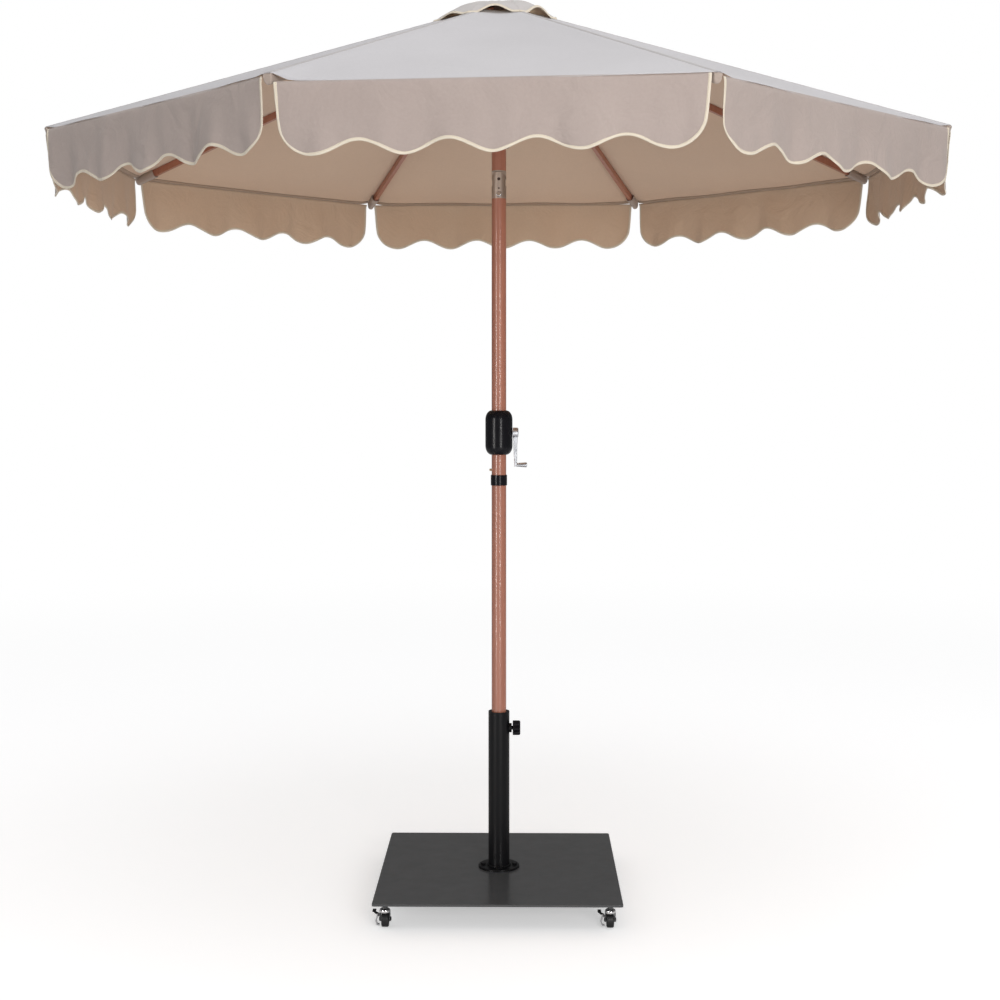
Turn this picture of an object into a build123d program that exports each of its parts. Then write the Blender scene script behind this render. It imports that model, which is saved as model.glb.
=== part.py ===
from build123d import *
import os
from math import atan, atan2, cos, degrees, hypot, radians, sin, tan

# Market umbrella with eight ribs, a crank lift and a push-button tilt joint, standing in a square
# steel base that rolls on four casters. Millimetres, +Z up. The origin is on the ground, on the
# pole's axis. The tilt joint's pin and button lie along Y, the crank handle is on the +X side.

# ---- canopy ----
rib_count = 8
canopy_radius = 1145.0       # pole axis to a corner of the cover
apex_height = 2321.0         # where the ridges of the cover would meet
rim_height = 1928.0          # corners of the cover
cloth = 1.0                  # thickness of the cover
cloth_gap = 0.4              # cover to the frame under it, and panel to panel
vent_radius = 110.0          # corners of the hole under the vent cap
cap_radius = 170.0           # corners of the vent cap
cap_crown_radius = 40.0      # flat middle of the vent cap
valance_drop = 145.0         # rim to the lowest point of a scallop
scallop_count = 5
scallop_pitch = 0.151 * canopy_radius
scallop_rise = 27.0          # lowest point of a scallop up to the notch beside it
valance_end_gap = 14.0       # corner of the cover to the end of a valance
valance_end_slant = 6.0      # how much a valance narrows at each end
valance_corner = 58.0        # rounding at a valance's lower corners

# ---- frame that folds ----
rib_width = 12.0
rib_depth = 18.0
rib_wall = 0.8
rib_tip_setback = 16.0       # end of the rib tube, short of the cover's corner
tip_cap_length = 10.0
tip_cap_plug = 14.0          # part of the cap inside the tube
pivot_radius = 40.0          # pole axis to the rib pivots, and to the strut pivots on the runner
strut_station = 430.0        # rib pivot to the strut bracket, along the rib
bracket_drop = 18.0          # rib centre line down to the strut's pin
bracket_wall = 1.5
bracket_half_length = 15.0
strut_width = 10.0
strut_depth = 14.0
strut_wall = 0.8
pivot_pin_radius = 2.5
pivot_pin_reach = 3.5        # how far a pivot pin stands out of its tube
strut_pin_radius = 2.0
strut_pin_head = 0.8         # rivet head outside the bracket
pin_clearance = 0.06         # radial, between a pin and what turns on it
hub_radius = 50.0
hub_core_radius = 28.0
hub_top = 20.0               # top of the hub above the rib pivots
hub_skirt = 18.0             # bottom of the hub below the rib pivots
hub_cone = 7.0               # height of the cone on top of the hub
pole_end_rise = 6.0          # end of the pole above the rib pivots, inside the hub
runner_radius = 48.0
runner_skirt = 36.0          # bottom of the runner below its pivots
slot_clearance = 0.4         # each side of a rib or strut in its slot
sliding_clearance = 0.6      # radial, runner on pole

# ---- pole ----
pole_radius = 19.05
pole_wall = 1.5
tilt_height = 1863.0         # tilt pin above the ground
tilt_joint_bottom = 1813.0
tilt_arch_clearance = 2.0    # top of the arched cheeks to the tilt head
tilt_head_band = 2.0         # plain ring of the tilt head under the upper tube
tongue_half_width = 8.0
tilt_pin_radius = 4.0
tilt_button_radius = 7.0
tilt_button_height = 1824.0
tilt_button_travel = 4.0
tilt_button_pocket = 2.5     # bottom of the button's pocket, from the pole's axis
tilt_slot_clearance = 0.4    # each side of the tongue, and round the button
rivet_height = 1839.0
rivet_radius = 2.5
plug_length = 28.0           # tilt castings inside the tubes
pole_split_height = 1078.0   # where the two pole sections meet, inside the collar
collar_wall = 2.25
collar_bottom = 1064.0
collar_top = 1091.5
spigot_top = 1140.0          # top of the lower section's spigot, inside the upper one
snap_height = 1104.5
snap_radius = 3.1
snap_proud = 6.0

# ---- crank ----
crank_height = 1202.0
housing_radius = 35.5
housing_half_height = 58.0
housing_shoulder = 24.0      # height of the rounded ends
housing_wall = 3.0
crank_shaft_radius = 5.0
crank_arm_half_width = 5.5
crank_arm_taper = 3.4        # how much the arm narrows on its near side, down to the grip
crank_hub_radius = 13.0
crank_hub_near = 36.3
crank_hub_far = 51.0
crank_radius = 84.5
knob_far = 73.5
knob_small_radius = 4.3
knob_large_radius = 6.8
drum_half_length = 11.5
drum_flange_radius = 12.0
drum_core_radius = 8.0
ratchet_radius = 13.0
ratchet_teeth = 12
housing_screw_radius = 3.2
housing_screw_across = 26.5  # pole axis to a screw
housing_screw_rise = 24.0    # crank shaft to a screw
housing_screw_depth = 15.0   # pole axis to the inner end of a screw
housing_screw_length = 6.0

# ---- base ----
plate_side = 610.0
plate_thickness = 6.0
stem_radius = 27.5
stem_wall = 2.5
stem_top = 474.0
stem_flange_radius = 53.5
stem_flange_thickness = 5.0
stem_bolt_circle = 82.0
reducer_length = 38.0        # reducer ring in the stem's mouth
pole_foot_clearance = 12.0   # end of the pole above the plate
clamp_height = 430.0
clamp_boss_radius = 12.0
clamp_boss_length = 6.0
clamp_knob_radius = 19.5
clamp_knob_near = 36.0
clamp_knob_far = 56.0
clamp_screw_radius = 5.0
caster_inset = 30.0          # plate edge to caster stud
caster_trail = 12.0          # stud to wheel axle
wheel_radius = 19.0
wheel_width = 18.0
plate_over_wheel = 24.0      # top of a wheel to the plate
wheel_side_gap = 1.2         # wheel to each cheek of the fork
caster_spacer_radius = 6.5
caster_spacer_length = 13.0
caster_head_gap = 0.5        # spacer to the fork's head
caster_stud_radius = 4.0
fork_head_radius = 13.0
fork_head_thickness = 8.5
fork_plate = 2.5
fork_foot_radius = 6.0
brake_pivot_radius = 1.5
brake_pivot_out = 4.0        # brake pivot to the fork's cheek
brake_pivot_rise = 11.0      # wheel axle up to the brake pivot
brake_width = 6.0
pedal_width = 12.0
axle_radius = 3.0

# ---- places that follow from the sizes above ----
half_panel = 180.0 / rib_count
slope = atan2(apex_height - rim_height, canopy_radius)
panel_slope = atan(tan(slope) / cos(radians(half_panel)))
# the rib's flat top stands below the ridge by what the cover falls over half its width
ridge_fall = rib_width / 2 * sin(radians(half_panel)) * tan(panel_slope) * cos(slope)
rib_centre_drop = rib_depth / 2 + ridge_fall + cloth_gap
hub_height = apex_height - pivot_radius * tan(slope) - rib_centre_drop / cos(slope)
rib_length = (canopy_radius - pivot_radius) / cos(slope) - rib_tip_setback
# rib pivot, strut pin and runner pivot make an isosceles triangle that stands on the pivot circle
strut_pin_angle = slope + atan(bracket_drop / strut_station)
strut_length = hypot(strut_station, bracket_drop)
strut_pin_r = pivot_radius + strut_length * cos(strut_pin_angle)
strut_pin_z = hub_height - strut_length * sin(strut_pin_angle)
runner_height = 2 * strut_pin_z - hub_height
tilt_joint_top = tilt_height + pole_radius + tilt_arch_clearance + tilt_head_band
rim_reach = canopy_radius * cos(radians(half_panel))
rim_half = canopy_radius * sin(radians(half_panel))
caster_centre = plate_side / 2 - caster_inset
plate_underside = 2 * wheel_radius + plate_over_wheel
plate_top = plate_underside + plate_thickness
pole_foot = plate_top + pole_foot_clearance
fork_head_top = plate_underside - caster_spacer_length - caster_head_gap
fork_head_bottom = fork_head_top - fork_head_thickness

os.makedirs("parts", exist_ok=True)


def finish(piece, name):
    """Name a finished piece and write it."""
    piece.part.label = name
    export_step(piece.part, "parts/" + name + ".step")


def rib_azimuth(index):
    return half_panel + index * 2 * half_panel


def radial_plane(azimuth, r=0.0, z=0.0, fall=0.0):
    """Upright plane through the pole's axis: x runs outward, falling by an angle, y upward."""
    a = radians(azimuth)
    return Plane(
        origin=(r * cos(a), r * sin(a), z),
        x_dir=(cos(fall) * cos(a), cos(fall) * sin(a), -sin(fall)),
        z_dir=(sin(a), -cos(a), 0),
    )


def facing_plane(azimuth, reach, z, lean=0.0):
    """Plane that faces outward: x runs along the rim, y up the slope. A lean of 0 is upright."""
    a = radians(azimuth)
    return Plane(
        origin=(reach * cos(a), reach * sin(a), z),
        x_dir=(-sin(a), cos(a), 0),
        z_dir=(cos(a) * cos(lean), sin(a) * cos(lean), sin(lean)),
    )


# ================================ frame that folds ================================


def make_rib(index):
    """Rectangular steel tube with its pivot pin, strut bracket, strut pin and end cap."""
    side = radial_plane(rib_azimuth(index), pivot_radius, hub_height, slope)
    half_depth = rib_depth / 2
    bore_width = rib_width / 2 - rib_wall
    with BuildPart() as rib:
        with BuildSketch(side):
            Circle(half_depth)
            Rectangle(rib_length, rib_depth, align=(Align.MIN, Align.CENTER))
        extrude(amount=rib_width / 2, both=True)
        with BuildSketch(side):
            with Locations((-rib_depth, 0)):
                Rectangle(rib_length + 2 * rib_depth, rib_depth - 2 * rib_wall,
                          align=(Align.MIN, Align.CENTER))
        extrude(amount=bore_width, both=True, mode=Mode.SUBTRACT)
        with BuildSketch(side):
            Circle(pivot_pin_radius)
        extrude(amount=rib_width, both=True, mode=Mode.SUBTRACT)
    with BuildPart() as pivot_pin:
        with BuildSketch(side):
            Circle(pivot_pin_radius)
        extrude(amount=rib_width / 2 + pivot_pin_reach, both=True)
    with BuildPart() as bracket:
        with BuildSketch(side):
            with Locations((strut_station, 0)):
                Rectangle(2 * bracket_half_length, half_depth + 1, align=(Align.CENTER, Align.MAX))
                with Locations((0, -bracket_drop)):
                    Circle(strut_depth / 2 + 1)
            with BuildLine():
                Polyline(
                    (strut_station - bracket_half_length, -half_depth - 1),
                    (strut_station - strut_depth / 2 - 1, -bracket_drop),
                    (strut_station + strut_depth / 2 + 1, -bracket_drop),
                    (strut_station + bracket_half_length, -half_depth - 1),
                    close=True,
                )
            make_face()
        extrude(amount=rib_width / 2 + bracket_wall, both=True)
        with BuildSketch(side):
            with Locations((strut_station, -half_depth)):
                Rectangle(3 * bracket_half_length, 2 * rib_depth, align=(Align.CENTER, Align.MIN))
            with Locations((strut_station, -half_depth - bracket_wall)):
                Rectangle(3 * bracket_half_length, 3 * rib_depth, align=(Align.CENTER, Align.MAX))
        extrude(amount=rib_width / 2, both=True, mode=Mode.SUBTRACT)
        with BuildSketch(side):
            with Locations((strut_station, -bracket_drop)):
                Circle(strut_pin_radius)
        extrude(amount=rib_width, both=True, mode=Mode.SUBTRACT)
    with BuildPart() as strut_pin:
        with BuildSketch(side):
            with Locations((strut_station, -bracket_drop)):
                Circle(strut_pin_radius)
        extrude(amount=rib_width / 2 + bracket_wall + strut_pin_head, both=True)
    with BuildPart() as tip_cap:
        with BuildSketch(side):
            with Locations((rib_length, 0)):
                Rectangle(tip_cap_length, rib_depth, align=(Align.MIN, Align.CENTER))
        extrude(amount=rib_width / 2, both=True)
        fillet(tip_cap.faces().sort_by(Axis(side.origin, side.x_dir))[-1].edges(), 3.5)
        with BuildSketch(side):
            with Locations((rib_length, 0)):
                Rectangle(tip_cap_plug, rib_depth - 2 * rib_wall, align=(Align.MAX, Align.CENTER))
        extrude(amount=bore_width, both=True)
    rib.part = Compound(children=[rib.part, pivot_pin.part, bracket.part, strut_pin.part, tip_cap.part])
    finish(rib, f"rib_{index + 1}")


def make_strut(index):
    """Rectangular tube from the runner up to the rib, with its runner pin."""
    rise = atan2(strut_pin_z - runner_height, strut_pin_r - pivot_radius)
    side = radial_plane(rib_azimuth(index), pivot_radius, runner_height, -rise)
    with BuildPart() as strut:
        with BuildSketch(side):
            with Locations((strut_length / 2, 0)):
                SlotCenterToCenter(strut_length, strut_depth)
        extrude(amount=strut_width / 2, both=True)
        with BuildSketch(side):
            with Locations((strut_length / 2, 0)):
                Rectangle(strut_length + 2 * strut_depth, strut_depth - 2 * strut_wall)
        extrude(amount=strut_width / 2 - strut_wall, both=True, mode=Mode.SUBTRACT)
        with BuildSketch(side):
            Circle(pivot_pin_radius)
            with Locations((strut_length, 0)):
                Circle(strut_pin_radius + pin_clearance)
        extrude(amount=strut_width, both=True, mode=Mode.SUBTRACT)
    with BuildPart() as runner_pin:
        with BuildSketch(side):
            Circle(pivot_pin_radius)
        extrude(amount=strut_width / 2 + pivot_pin_reach, both=True)
    strut.part = Compound(children=[strut.part, runner_pin.part])
    finish(strut, f"strut_{index + 1}")


def radial_slots(width, bottom, top, pin_z, pin_length):
    """What is cut from the hub or the runner: a slot for each rib or strut, a bore for each pin."""
    with BuildPart() as slots:
        for index in range(rib_count):
            azimuth = rib_azimuth(index)
            with BuildSketch(radial_plane(azimuth)):
                with Locations((hub_core_radius, bottom)):
                    Rectangle(hub_radius, top - bottom, align=(Align.MIN, Align.MIN))
            extrude(amount=width / 2 + slot_clearance, both=True)
            with BuildSketch(radial_plane(azimuth, pivot_radius, pin_z)):
                Circle(pivot_pin_radius + pin_clearance)
            extrude(amount=pin_length / 2 + slot_clearance, both=True)
    return slots.part


# top hub: moulded crown that the ribs hang in, closed over the end of the pole
hub_slots = radial_slots(rib_width, hub_height - hub_skirt, hub_height + rib_depth / 2 + 2,
                         hub_height, rib_width + 2 * pivot_pin_reach)
with BuildPart() as top_hub:
    with BuildSketch(Plane.XY.offset(hub_height - hub_skirt)):
        Circle(hub_radius)
    extrude(amount=hub_skirt + hub_top - hub_cone)
    with BuildSketch(Plane.XY.offset(hub_height + hub_top - hub_cone)):
        Circle(hub_radius)
    with BuildSketch(Plane.XY.offset(hub_height + hub_top)):
        Circle(hub_core_radius - 4)
    loft()
    add(hub_slots, mode=Mode.SUBTRACT)
    with BuildSketch(Plane.XY.offset(hub_height - hub_skirt)):
        Circle(pole_radius)
    extrude(amount=hub_skirt + pole_end_rise, mode=Mode.SUBTRACT)
finish(top_hub, "top_hub")

# runner: the lower hub that slides on the pole and pushes the struts
runner_slots = radial_slots(strut_width, runner_height - strut_depth, runner_height + strut_depth,
                            runner_height, strut_width + 2 * pivot_pin_reach)
with BuildPart() as runner:
    with BuildSketch(Plane.XY.offset(runner_height - runner_skirt)):
        Circle(hub_core_radius - 1)
    extrude(amount=runner_skirt + strut_depth / 2 + 2)
    with BuildSketch(Plane.XY.offset(runner_height - strut_depth / 2 - 2)):
        Circle(runner_radius)
    extrude(amount=strut_depth + 4)
    runner_rim = runner.edges().filter_by(GeomType.CIRCLE).sort_by(SortBy.RADIUS)[-2:]
    fillet(runner_rim, 2)
    add(runner_slots, mode=Mode.SUBTRACT)
    with BuildSketch(Plane.XY.offset(runner_height - runner_skirt)):
        Circle(pole_radius + sliding_clearance)
    extrude(amount=2 * runner_skirt, mode=Mode.SUBTRACT)
finish(runner, "runner")

for number in range(rib_count):
    make_rib(number)
    make_strut(number)

# ================================ cover ================================


def make_panel(index):
    """One flat panel of the cover, between two ridges, from the vent hole to the rim."""
    azimuth = rib_azimuth(index) + half_panel
    slant = rim_reach / cos(panel_slope)
    vent_slant = vent_radius / canopy_radius * slant
    vent_half = vent_radius / canopy_radius * rim_half
    face = facing_plane(azimuth, 0, apex_height, radians(90) - panel_slope)
    with BuildPart() as panel:
        with BuildSketch(face):
            with BuildLine():
                Polyline(
                    (-vent_half + cloth_gap, -vent_slant),
                    (-rim_half + cloth_gap, -slant),
                    (rim_half - cloth_gap, -slant),
                    (vent_half - cloth_gap, -vent_slant),
                    close=True,
                )
            make_face()
        extrude(amount=cloth)
    finish(panel, f"canopy_panel_{index + 1}")


def make_valance(index):
    """Scalloped strip that hangs from one side of the rim."""
    azimuth = rib_azimuth(index) + half_panel
    face = facing_plane(azimuth, rim_reach + cloth * sin(panel_slope) + cloth_gap, rim_height)
    top_half = rim_half - valance_end_gap
    low_half = top_half - valance_end_slant
    notch = -valance_drop + scallop_rise
    first_notch = -scallop_pitch * (scallop_count - 2) / 2
    with BuildPart() as valance:
        with BuildSketch(face):
            with BuildLine():
                for scallop in range(scallop_count - 2):
                    start = first_notch + scallop * scallop_pitch
                    ThreePointArc(
                        (start, notch),
                        (start + scallop_pitch / 2, -valance_drop),
                        (start + scallop_pitch, notch),
                    )
                for end in (-1, 1):
                    low = (end * (low_half - valance_corner), -valance_drop)
                    corner = (end * low_half, -valance_drop + valance_corner)
                    Line((end * -first_notch, notch), low)
                    TangentArc(low, corner, tangent=(end, 0))
                    Line(corner, (end * top_half, cloth))
                Line((-top_half, cloth), (top_half, cloth))
            make_face()
        extrude(amount=cloth)
    finish(valance, f"valance_{index + 1}")


for number in range(rib_count):
    make_panel(number)
    make_valance(number)

# vent cap: small second cover over the hole, held off the cover by its own arch
cap_rim_height = apex_height - cap_radius * tan(slope) + cloth / cos(slope) + cloth_gap
cap_crown_height = hub_height + hub_top + cloth_gap
with BuildPart() as vent_cap:
    with BuildSketch(Plane.XY.offset(cap_rim_height)):
        RegularPolygon(cap_radius + 2 * cloth, rib_count, rotation=half_panel)
    with BuildSketch(Plane.XY.offset(cap_crown_height + cloth)):
        RegularPolygon(cap_crown_radius + cloth, rib_count, rotation=half_panel)
    loft()
    with BuildSketch(Plane.XY.offset(cap_rim_height)):
        RegularPolygon(cap_radius, rib_count, rotation=half_panel)
    with BuildSketch(Plane.XY.offset(cap_crown_height)):
        RegularPolygon(cap_crown_radius, rib_count, rotation=half_panel)
    loft(mode=Mode.SUBTRACT)
finish(vent_cap, "vent_cap")

# ================================ pole and tilt joint ================================

with BuildPart() as upper_pole:
    with BuildSketch(Plane.XY.offset(tilt_joint_top)):
        Circle(pole_radius)
        Circle(pole_radius - pole_wall, mode=Mode.SUBTRACT)
    extrude(amount=hub_height + pole_end_rise - tilt_joint_top)
finish(upper_pole, "upper_pole")

tongue_radius = pole_radius - 3

# tilt head: casting plugged into the upper tube, with the tongue that turns on the tilt pin
with BuildPart() as tilt_head:
    with BuildSketch(Plane.XY.offset(tilt_joint_top)):
        Circle(pole_radius - pole_wall)
    extrude(amount=plug_length)
    with BuildSketch(Plane.XY.offset(tilt_joint_top - tilt_head_band)):
        Circle(pole_radius)
    extrude(amount=tilt_head_band)
    with BuildSketch(Plane.XZ):
        with Locations((0, tilt_height)):
            Circle(tongue_radius)
            Rectangle(2 * pole_radius, pole_radius + tilt_arch_clearance,
                      align=(Align.CENTER, Align.MIN))
            Circle(tilt_pin_radius + pin_clearance, mode=Mode.SUBTRACT)
    extrude(amount=tongue_half_width - tilt_slot_clearance, both=True)
    # the tongue's shoulders are as round as the pole
    with BuildSketch(Plane.XY.offset(tilt_height - pole_radius)):
        Circle(pole_radius)
    extrude(amount=tilt_joint_top + plug_length - tilt_height + pole_radius, mode=Mode.INTERSECT)
finish(tilt_head, "tilt_head")

# tilt socket: casting in the top of the main tube, two arched cheeks round the tongue
with BuildPart() as tilt_socket:
    with BuildSketch(Plane.XY.offset(tilt_joint_bottom - plug_length)):
        Circle(pole_radius - pole_wall)
    extrude(amount=plug_length)
    with BuildSketch(Plane.XY.offset(tilt_joint_bottom)):
        Circle(pole_radius)
    extrude(amount=tilt_height + pole_radius - tilt_joint_bottom)
    with BuildSketch(Plane.XZ):
        with Locations((0, tilt_height)):
            Rectangle(4 * pole_radius, 2 * pole_radius, align=(Align.CENTER, Align.MIN))
            Circle(pole_radius, mode=Mode.SUBTRACT)
    extrude(amount=2 * pole_radius, both=True, mode=Mode.SUBTRACT)
    with BuildSketch(Plane.XZ):
        with Locations((0, tilt_height - tongue_radius - 0.6)):
            Rectangle(4 * pole_radius, 4 * pole_radius, align=(Align.CENTER, Align.MIN))
    extrude(amount=tongue_half_width, both=True, mode=Mode.SUBTRACT)
    with BuildSketch(Plane.XZ):
        with Locations((0, tilt_height)):
            Circle(tilt_pin_radius)
        with Locations((0, rivet_height)):
            Circle(rivet_radius)
    extrude(amount=2 * pole_radius, both=True, mode=Mode.SUBTRACT)
    with BuildSketch(Plane.XZ.offset(tilt_button_pocket)):
        with Locations((0, tilt_button_height)):
            Circle(tilt_button_radius + tilt_slot_clearance)
    extrude(amount=pole_radius, mode=Mode.SUBTRACT)
with BuildPart() as tilt_pin:
    with BuildSketch(Plane.XZ):
        with Locations((0, tilt_height)):
            Circle(tilt_pin_radius)
    extrude(amount=pole_radius - 0.8, both=True)
    fillet(tilt_pin.edges().filter_by(GeomType.CIRCLE), 0.6)
with BuildPart() as tilt_rivet:
    with BuildSketch(Plane.XZ):
        with Locations((0, rivet_height)):
            Circle(rivet_radius)
    extrude(amount=pole_radius - 0.4, both=True)
tilt_socket.part = Compound(children=[tilt_socket.part, tilt_pin.part, tilt_rivet.part])
finish(tilt_socket, "tilt_socket")

# tilt button: sprung push button, flush enough for the runner to pass
button_back = tilt_button_pocket + tilt_button_travel + 0.5
with BuildPart() as tilt_button:
    with BuildSketch(Plane.XZ.offset(button_back)):
        with Locations((0, tilt_button_height)):
            Circle(tilt_button_radius)
    extrude(amount=pole_radius - 0.2 - button_back)
    fillet(tilt_button.faces().sort_by(Axis.Y)[0].edges(), 2.2)
finish(tilt_button, "tilt_button")

# main pole: from the collar up to the tilt joint, pierced for the crank shaft and the snap button
with BuildPart() as main_pole:
    with BuildSketch(Plane.XY.offset(pole_split_height)):
        Circle(pole_radius)
        Circle(pole_radius - pole_wall, mode=Mode.SUBTRACT)
    extrude(amount=tilt_joint_bottom - pole_split_height)
    with BuildSketch(Plane.YZ):
        with Locations((0, crank_height)):
            Circle(crank_shaft_radius + 1)
    extrude(amount=2 * pole_radius, mode=Mode.SUBTRACT)
    with BuildSketch(Plane.YZ):
        with Locations((0, snap_height)):
            Circle(snap_radius + 0.4)
    extrude(amount=-2 * pole_radius, mode=Mode.SUBTRACT)
finish(main_pole, "main_pole")

# lower pole: ends in a reduced spigot that the main pole slips over
spigot_outer = pole_radius - pole_wall - 0.1
with BuildPart() as lower_pole:
    with BuildSketch(Plane.XZ):
        with BuildLine():
            Polyline(
                (pole_radius, pole_foot),
                (pole_radius, pole_split_height),
                (spigot_outer, pole_split_height),
                (spigot_outer, spigot_top),
                (spigot_outer - pole_wall, spigot_top),
                (spigot_outer - pole_wall, pole_split_height - 12),
                (pole_radius - pole_wall, pole_split_height - 20),
                (pole_radius - pole_wall, pole_foot),
                close=True,
            )
        make_face()
    revolve(axis=Axis.Z)
    with BuildSketch(Plane.YZ):
        with Locations((0, snap_height)):
            Circle(snap_radius + 0.4)
    extrude(amount=-2 * pole_radius, mode=Mode.SUBTRACT)
finish(lower_pole, "lower_pole")

# pole collar: moulded sleeve over the joint between the two sections
with BuildPart() as pole_collar:
    with BuildSketch(Plane.XY.offset(collar_bottom)):
        Circle(pole_radius + collar_wall)
        Circle(pole_radius, mode=Mode.SUBTRACT)
    extrude(amount=collar_top - collar_bottom)
    collar_rims = pole_collar.edges().filter_by(GeomType.CIRCLE).sort_by(SortBy.RADIUS)[-2:]
    fillet(collar_rims, 1.2)
finish(pole_collar, "pole_collar")

# snap button: domed brass button that locks the two sections, with its shoulder inside the spigot
spigot_bore = spigot_outer - pole_wall
with BuildPart() as snap_button:
    with BuildSketch(Plane.YZ.offset(-spigot_bore + 1.5)):
        with Locations((0, snap_height)):
            Circle(snap_radius)
    extrude(amount=-(pole_radius + snap_proud - spigot_bore + 1.5))
    fillet(snap_button.faces().sort_by(Axis.X)[0].edges(), 2.4)
    with BuildSketch(Plane.YZ.offset(-spigot_bore + 2.2)):
        with Locations((0, snap_height)):
            Circle(snap_radius + 1.4)
    extrude(amount=1.2)
    with BuildSketch(Plane.YZ.offset(-spigot_bore + 1.5)):
        with Locations((0, snap_height)):
            Circle(snap_radius)
    extrude(amount=1.0)
finish(snap_button, "snap_button")

# ================================ crank ================================

screw_spots = [
    (side * housing_screw_across, crank_height + level * housing_screw_rise)
    for side in (-1, 1)
    for level in (-1, 1)
]


def make_housing_shell(side, name):
    """Half of the barrel that covers the winding gear: side -1 is the front, 1 the back."""
    shoulder_reach = housing_radius - pole_radius
    low = crank_height - housing_half_height
    high = crank_height + housing_half_height
    inner_reach = shoulder_reach - housing_wall
    inner_rise = housing_shoulder - housing_wall
    with BuildPart() as shell:
        with BuildSketch(Plane.XZ):
            with BuildLine():
                Line((0, low), (pole_radius, low))
                EllipticalCenterArc((pole_radius, low + housing_shoulder), shoulder_reach,
                                    housing_shoulder, start_angle=270, arc_size=90)
                Line((housing_radius, low + housing_shoulder), (housing_radius, high - housing_shoulder))
                EllipticalCenterArc((pole_radius, high - housing_shoulder), shoulder_reach,
                                    housing_shoulder, start_angle=0, arc_size=90)
                Line((pole_radius, high), (0, high))
                Line((0, high), (0, low))
            make_face()
            with BuildLine(mode=Mode.PRIVATE) as hollow_line:
                Line((pole_radius, low + housing_wall), (pole_radius, high - housing_wall))
                EllipticalCenterArc((pole_radius, high - housing_shoulder), inner_reach,
                                    inner_rise, start_angle=0, arc_size=90)
                Line((pole_radius + inner_reach, high - housing_shoulder),
                     (pole_radius + inner_reach, low + housing_shoulder))
                EllipticalCenterArc((pole_radius, low + housing_shoulder), inner_reach,
                                    inner_rise, start_angle=270, arc_size=90)
            make_face(hollow_line.edges(), mode=Mode.SUBTRACT)
        revolve(axis=Axis.Z)
        with BuildSketch(Plane.XY.offset(low)):
            Circle(pole_radius)
        extrude(amount=2 * housing_half_height, mode=Mode.SUBTRACT)
        with BuildSketch(Plane.XZ.offset(-side * 0.05)):
            with Locations((0, crank_height)):
                Rectangle(4 * housing_radius, 4 * housing_half_height)
        extrude(amount=side * 2 * housing_radius, mode=Mode.SUBTRACT)
        with BuildSketch(Plane.YZ):
            with Locations((0, crank_height)):
                Circle(crank_shaft_radius + 0.5)
        extrude(amount=2 * housing_radius, mode=Mode.SUBTRACT)
        if side > 0:
            with BuildSketch(Plane.XZ):
                with Locations(*screw_spots):
                    Circle(housing_screw_radius)
            extrude(amount=-2 * housing_radius, mode=Mode.SUBTRACT)
    if side > 0:
        with BuildPart() as screws:
            with BuildSketch(Plane.XZ.offset(-housing_screw_depth)):
                with Locations(*screw_spots):
                    Circle(housing_screw_radius)
            extrude(amount=-housing_screw_length)
        shell.part = Compound(children=[shell.part, *screws.part.solids()])
    finish(shell, name)


make_housing_shell(-1, "crank_housing_front")
make_housing_shell(1, "crank_housing_back")

# crank handle: plated casting, shaft, hub, tapering arm and conical grip in one piece
arm_near = crank_hub_near + 0.6
arm_far = crank_hub_far - 2.4
arm_foot_far = arm_far - crank_arm_taper / 2
grip_height = crank_height - crank_radius
with BuildPart() as crank_arm:
    with BuildSketch(Plane.XZ):
        with BuildLine():
            Polyline(
                (arm_near, crank_height),
                (arm_far, crank_height),
                (arm_foot_far, grip_height - knob_small_radius),
                (arm_near + crank_arm_taper, grip_height - knob_small_radius),
                close=True,
            )
        make_face()
    extrude(amount=crank_arm_half_width, both=True)
    fillet(crank_arm.edges().filter_by(Axis.Y), 1.6)
    chamfer(crank_arm.faces().filter_by(Axis.Y).edges(), 0.8)
with BuildPart() as crank_grip:
    with BuildSketch(Plane.XZ):
        with BuildLine():
            Polyline(
                (arm_near + 5, grip_height),
                (arm_near + 5, grip_height + knob_small_radius),
                (knob_far, grip_height + knob_large_radius),
                (knob_far, grip_height),
                close=True,
            )
        make_face()
    revolve(axis=Axis((0, 0, grip_height), (1, 0, 0)))
    fillet(crank_grip.faces().sort_by(Axis.X)[-1].edges(), 3)
with BuildPart() as crank_handle:
    with BuildSketch(Plane.YZ.offset(-drum_half_length)):
        with Locations((0, crank_height)):
            Circle(crank_shaft_radius)
    extrude(amount=crank_hub_near + drum_half_length)
    with BuildSketch(Plane.YZ.offset(crank_hub_near)):
        with Locations((0, crank_height)):
            Circle(crank_hub_radius)
    extrude(amount=crank_hub_far - crank_hub_near)
    fillet(crank_handle.faces().sort_by(Axis.X)[-1].edges(), 4)
    add(crank_arm.part)
    add(crank_grip.part)
finish(crank_handle, "crank_handle")

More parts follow.
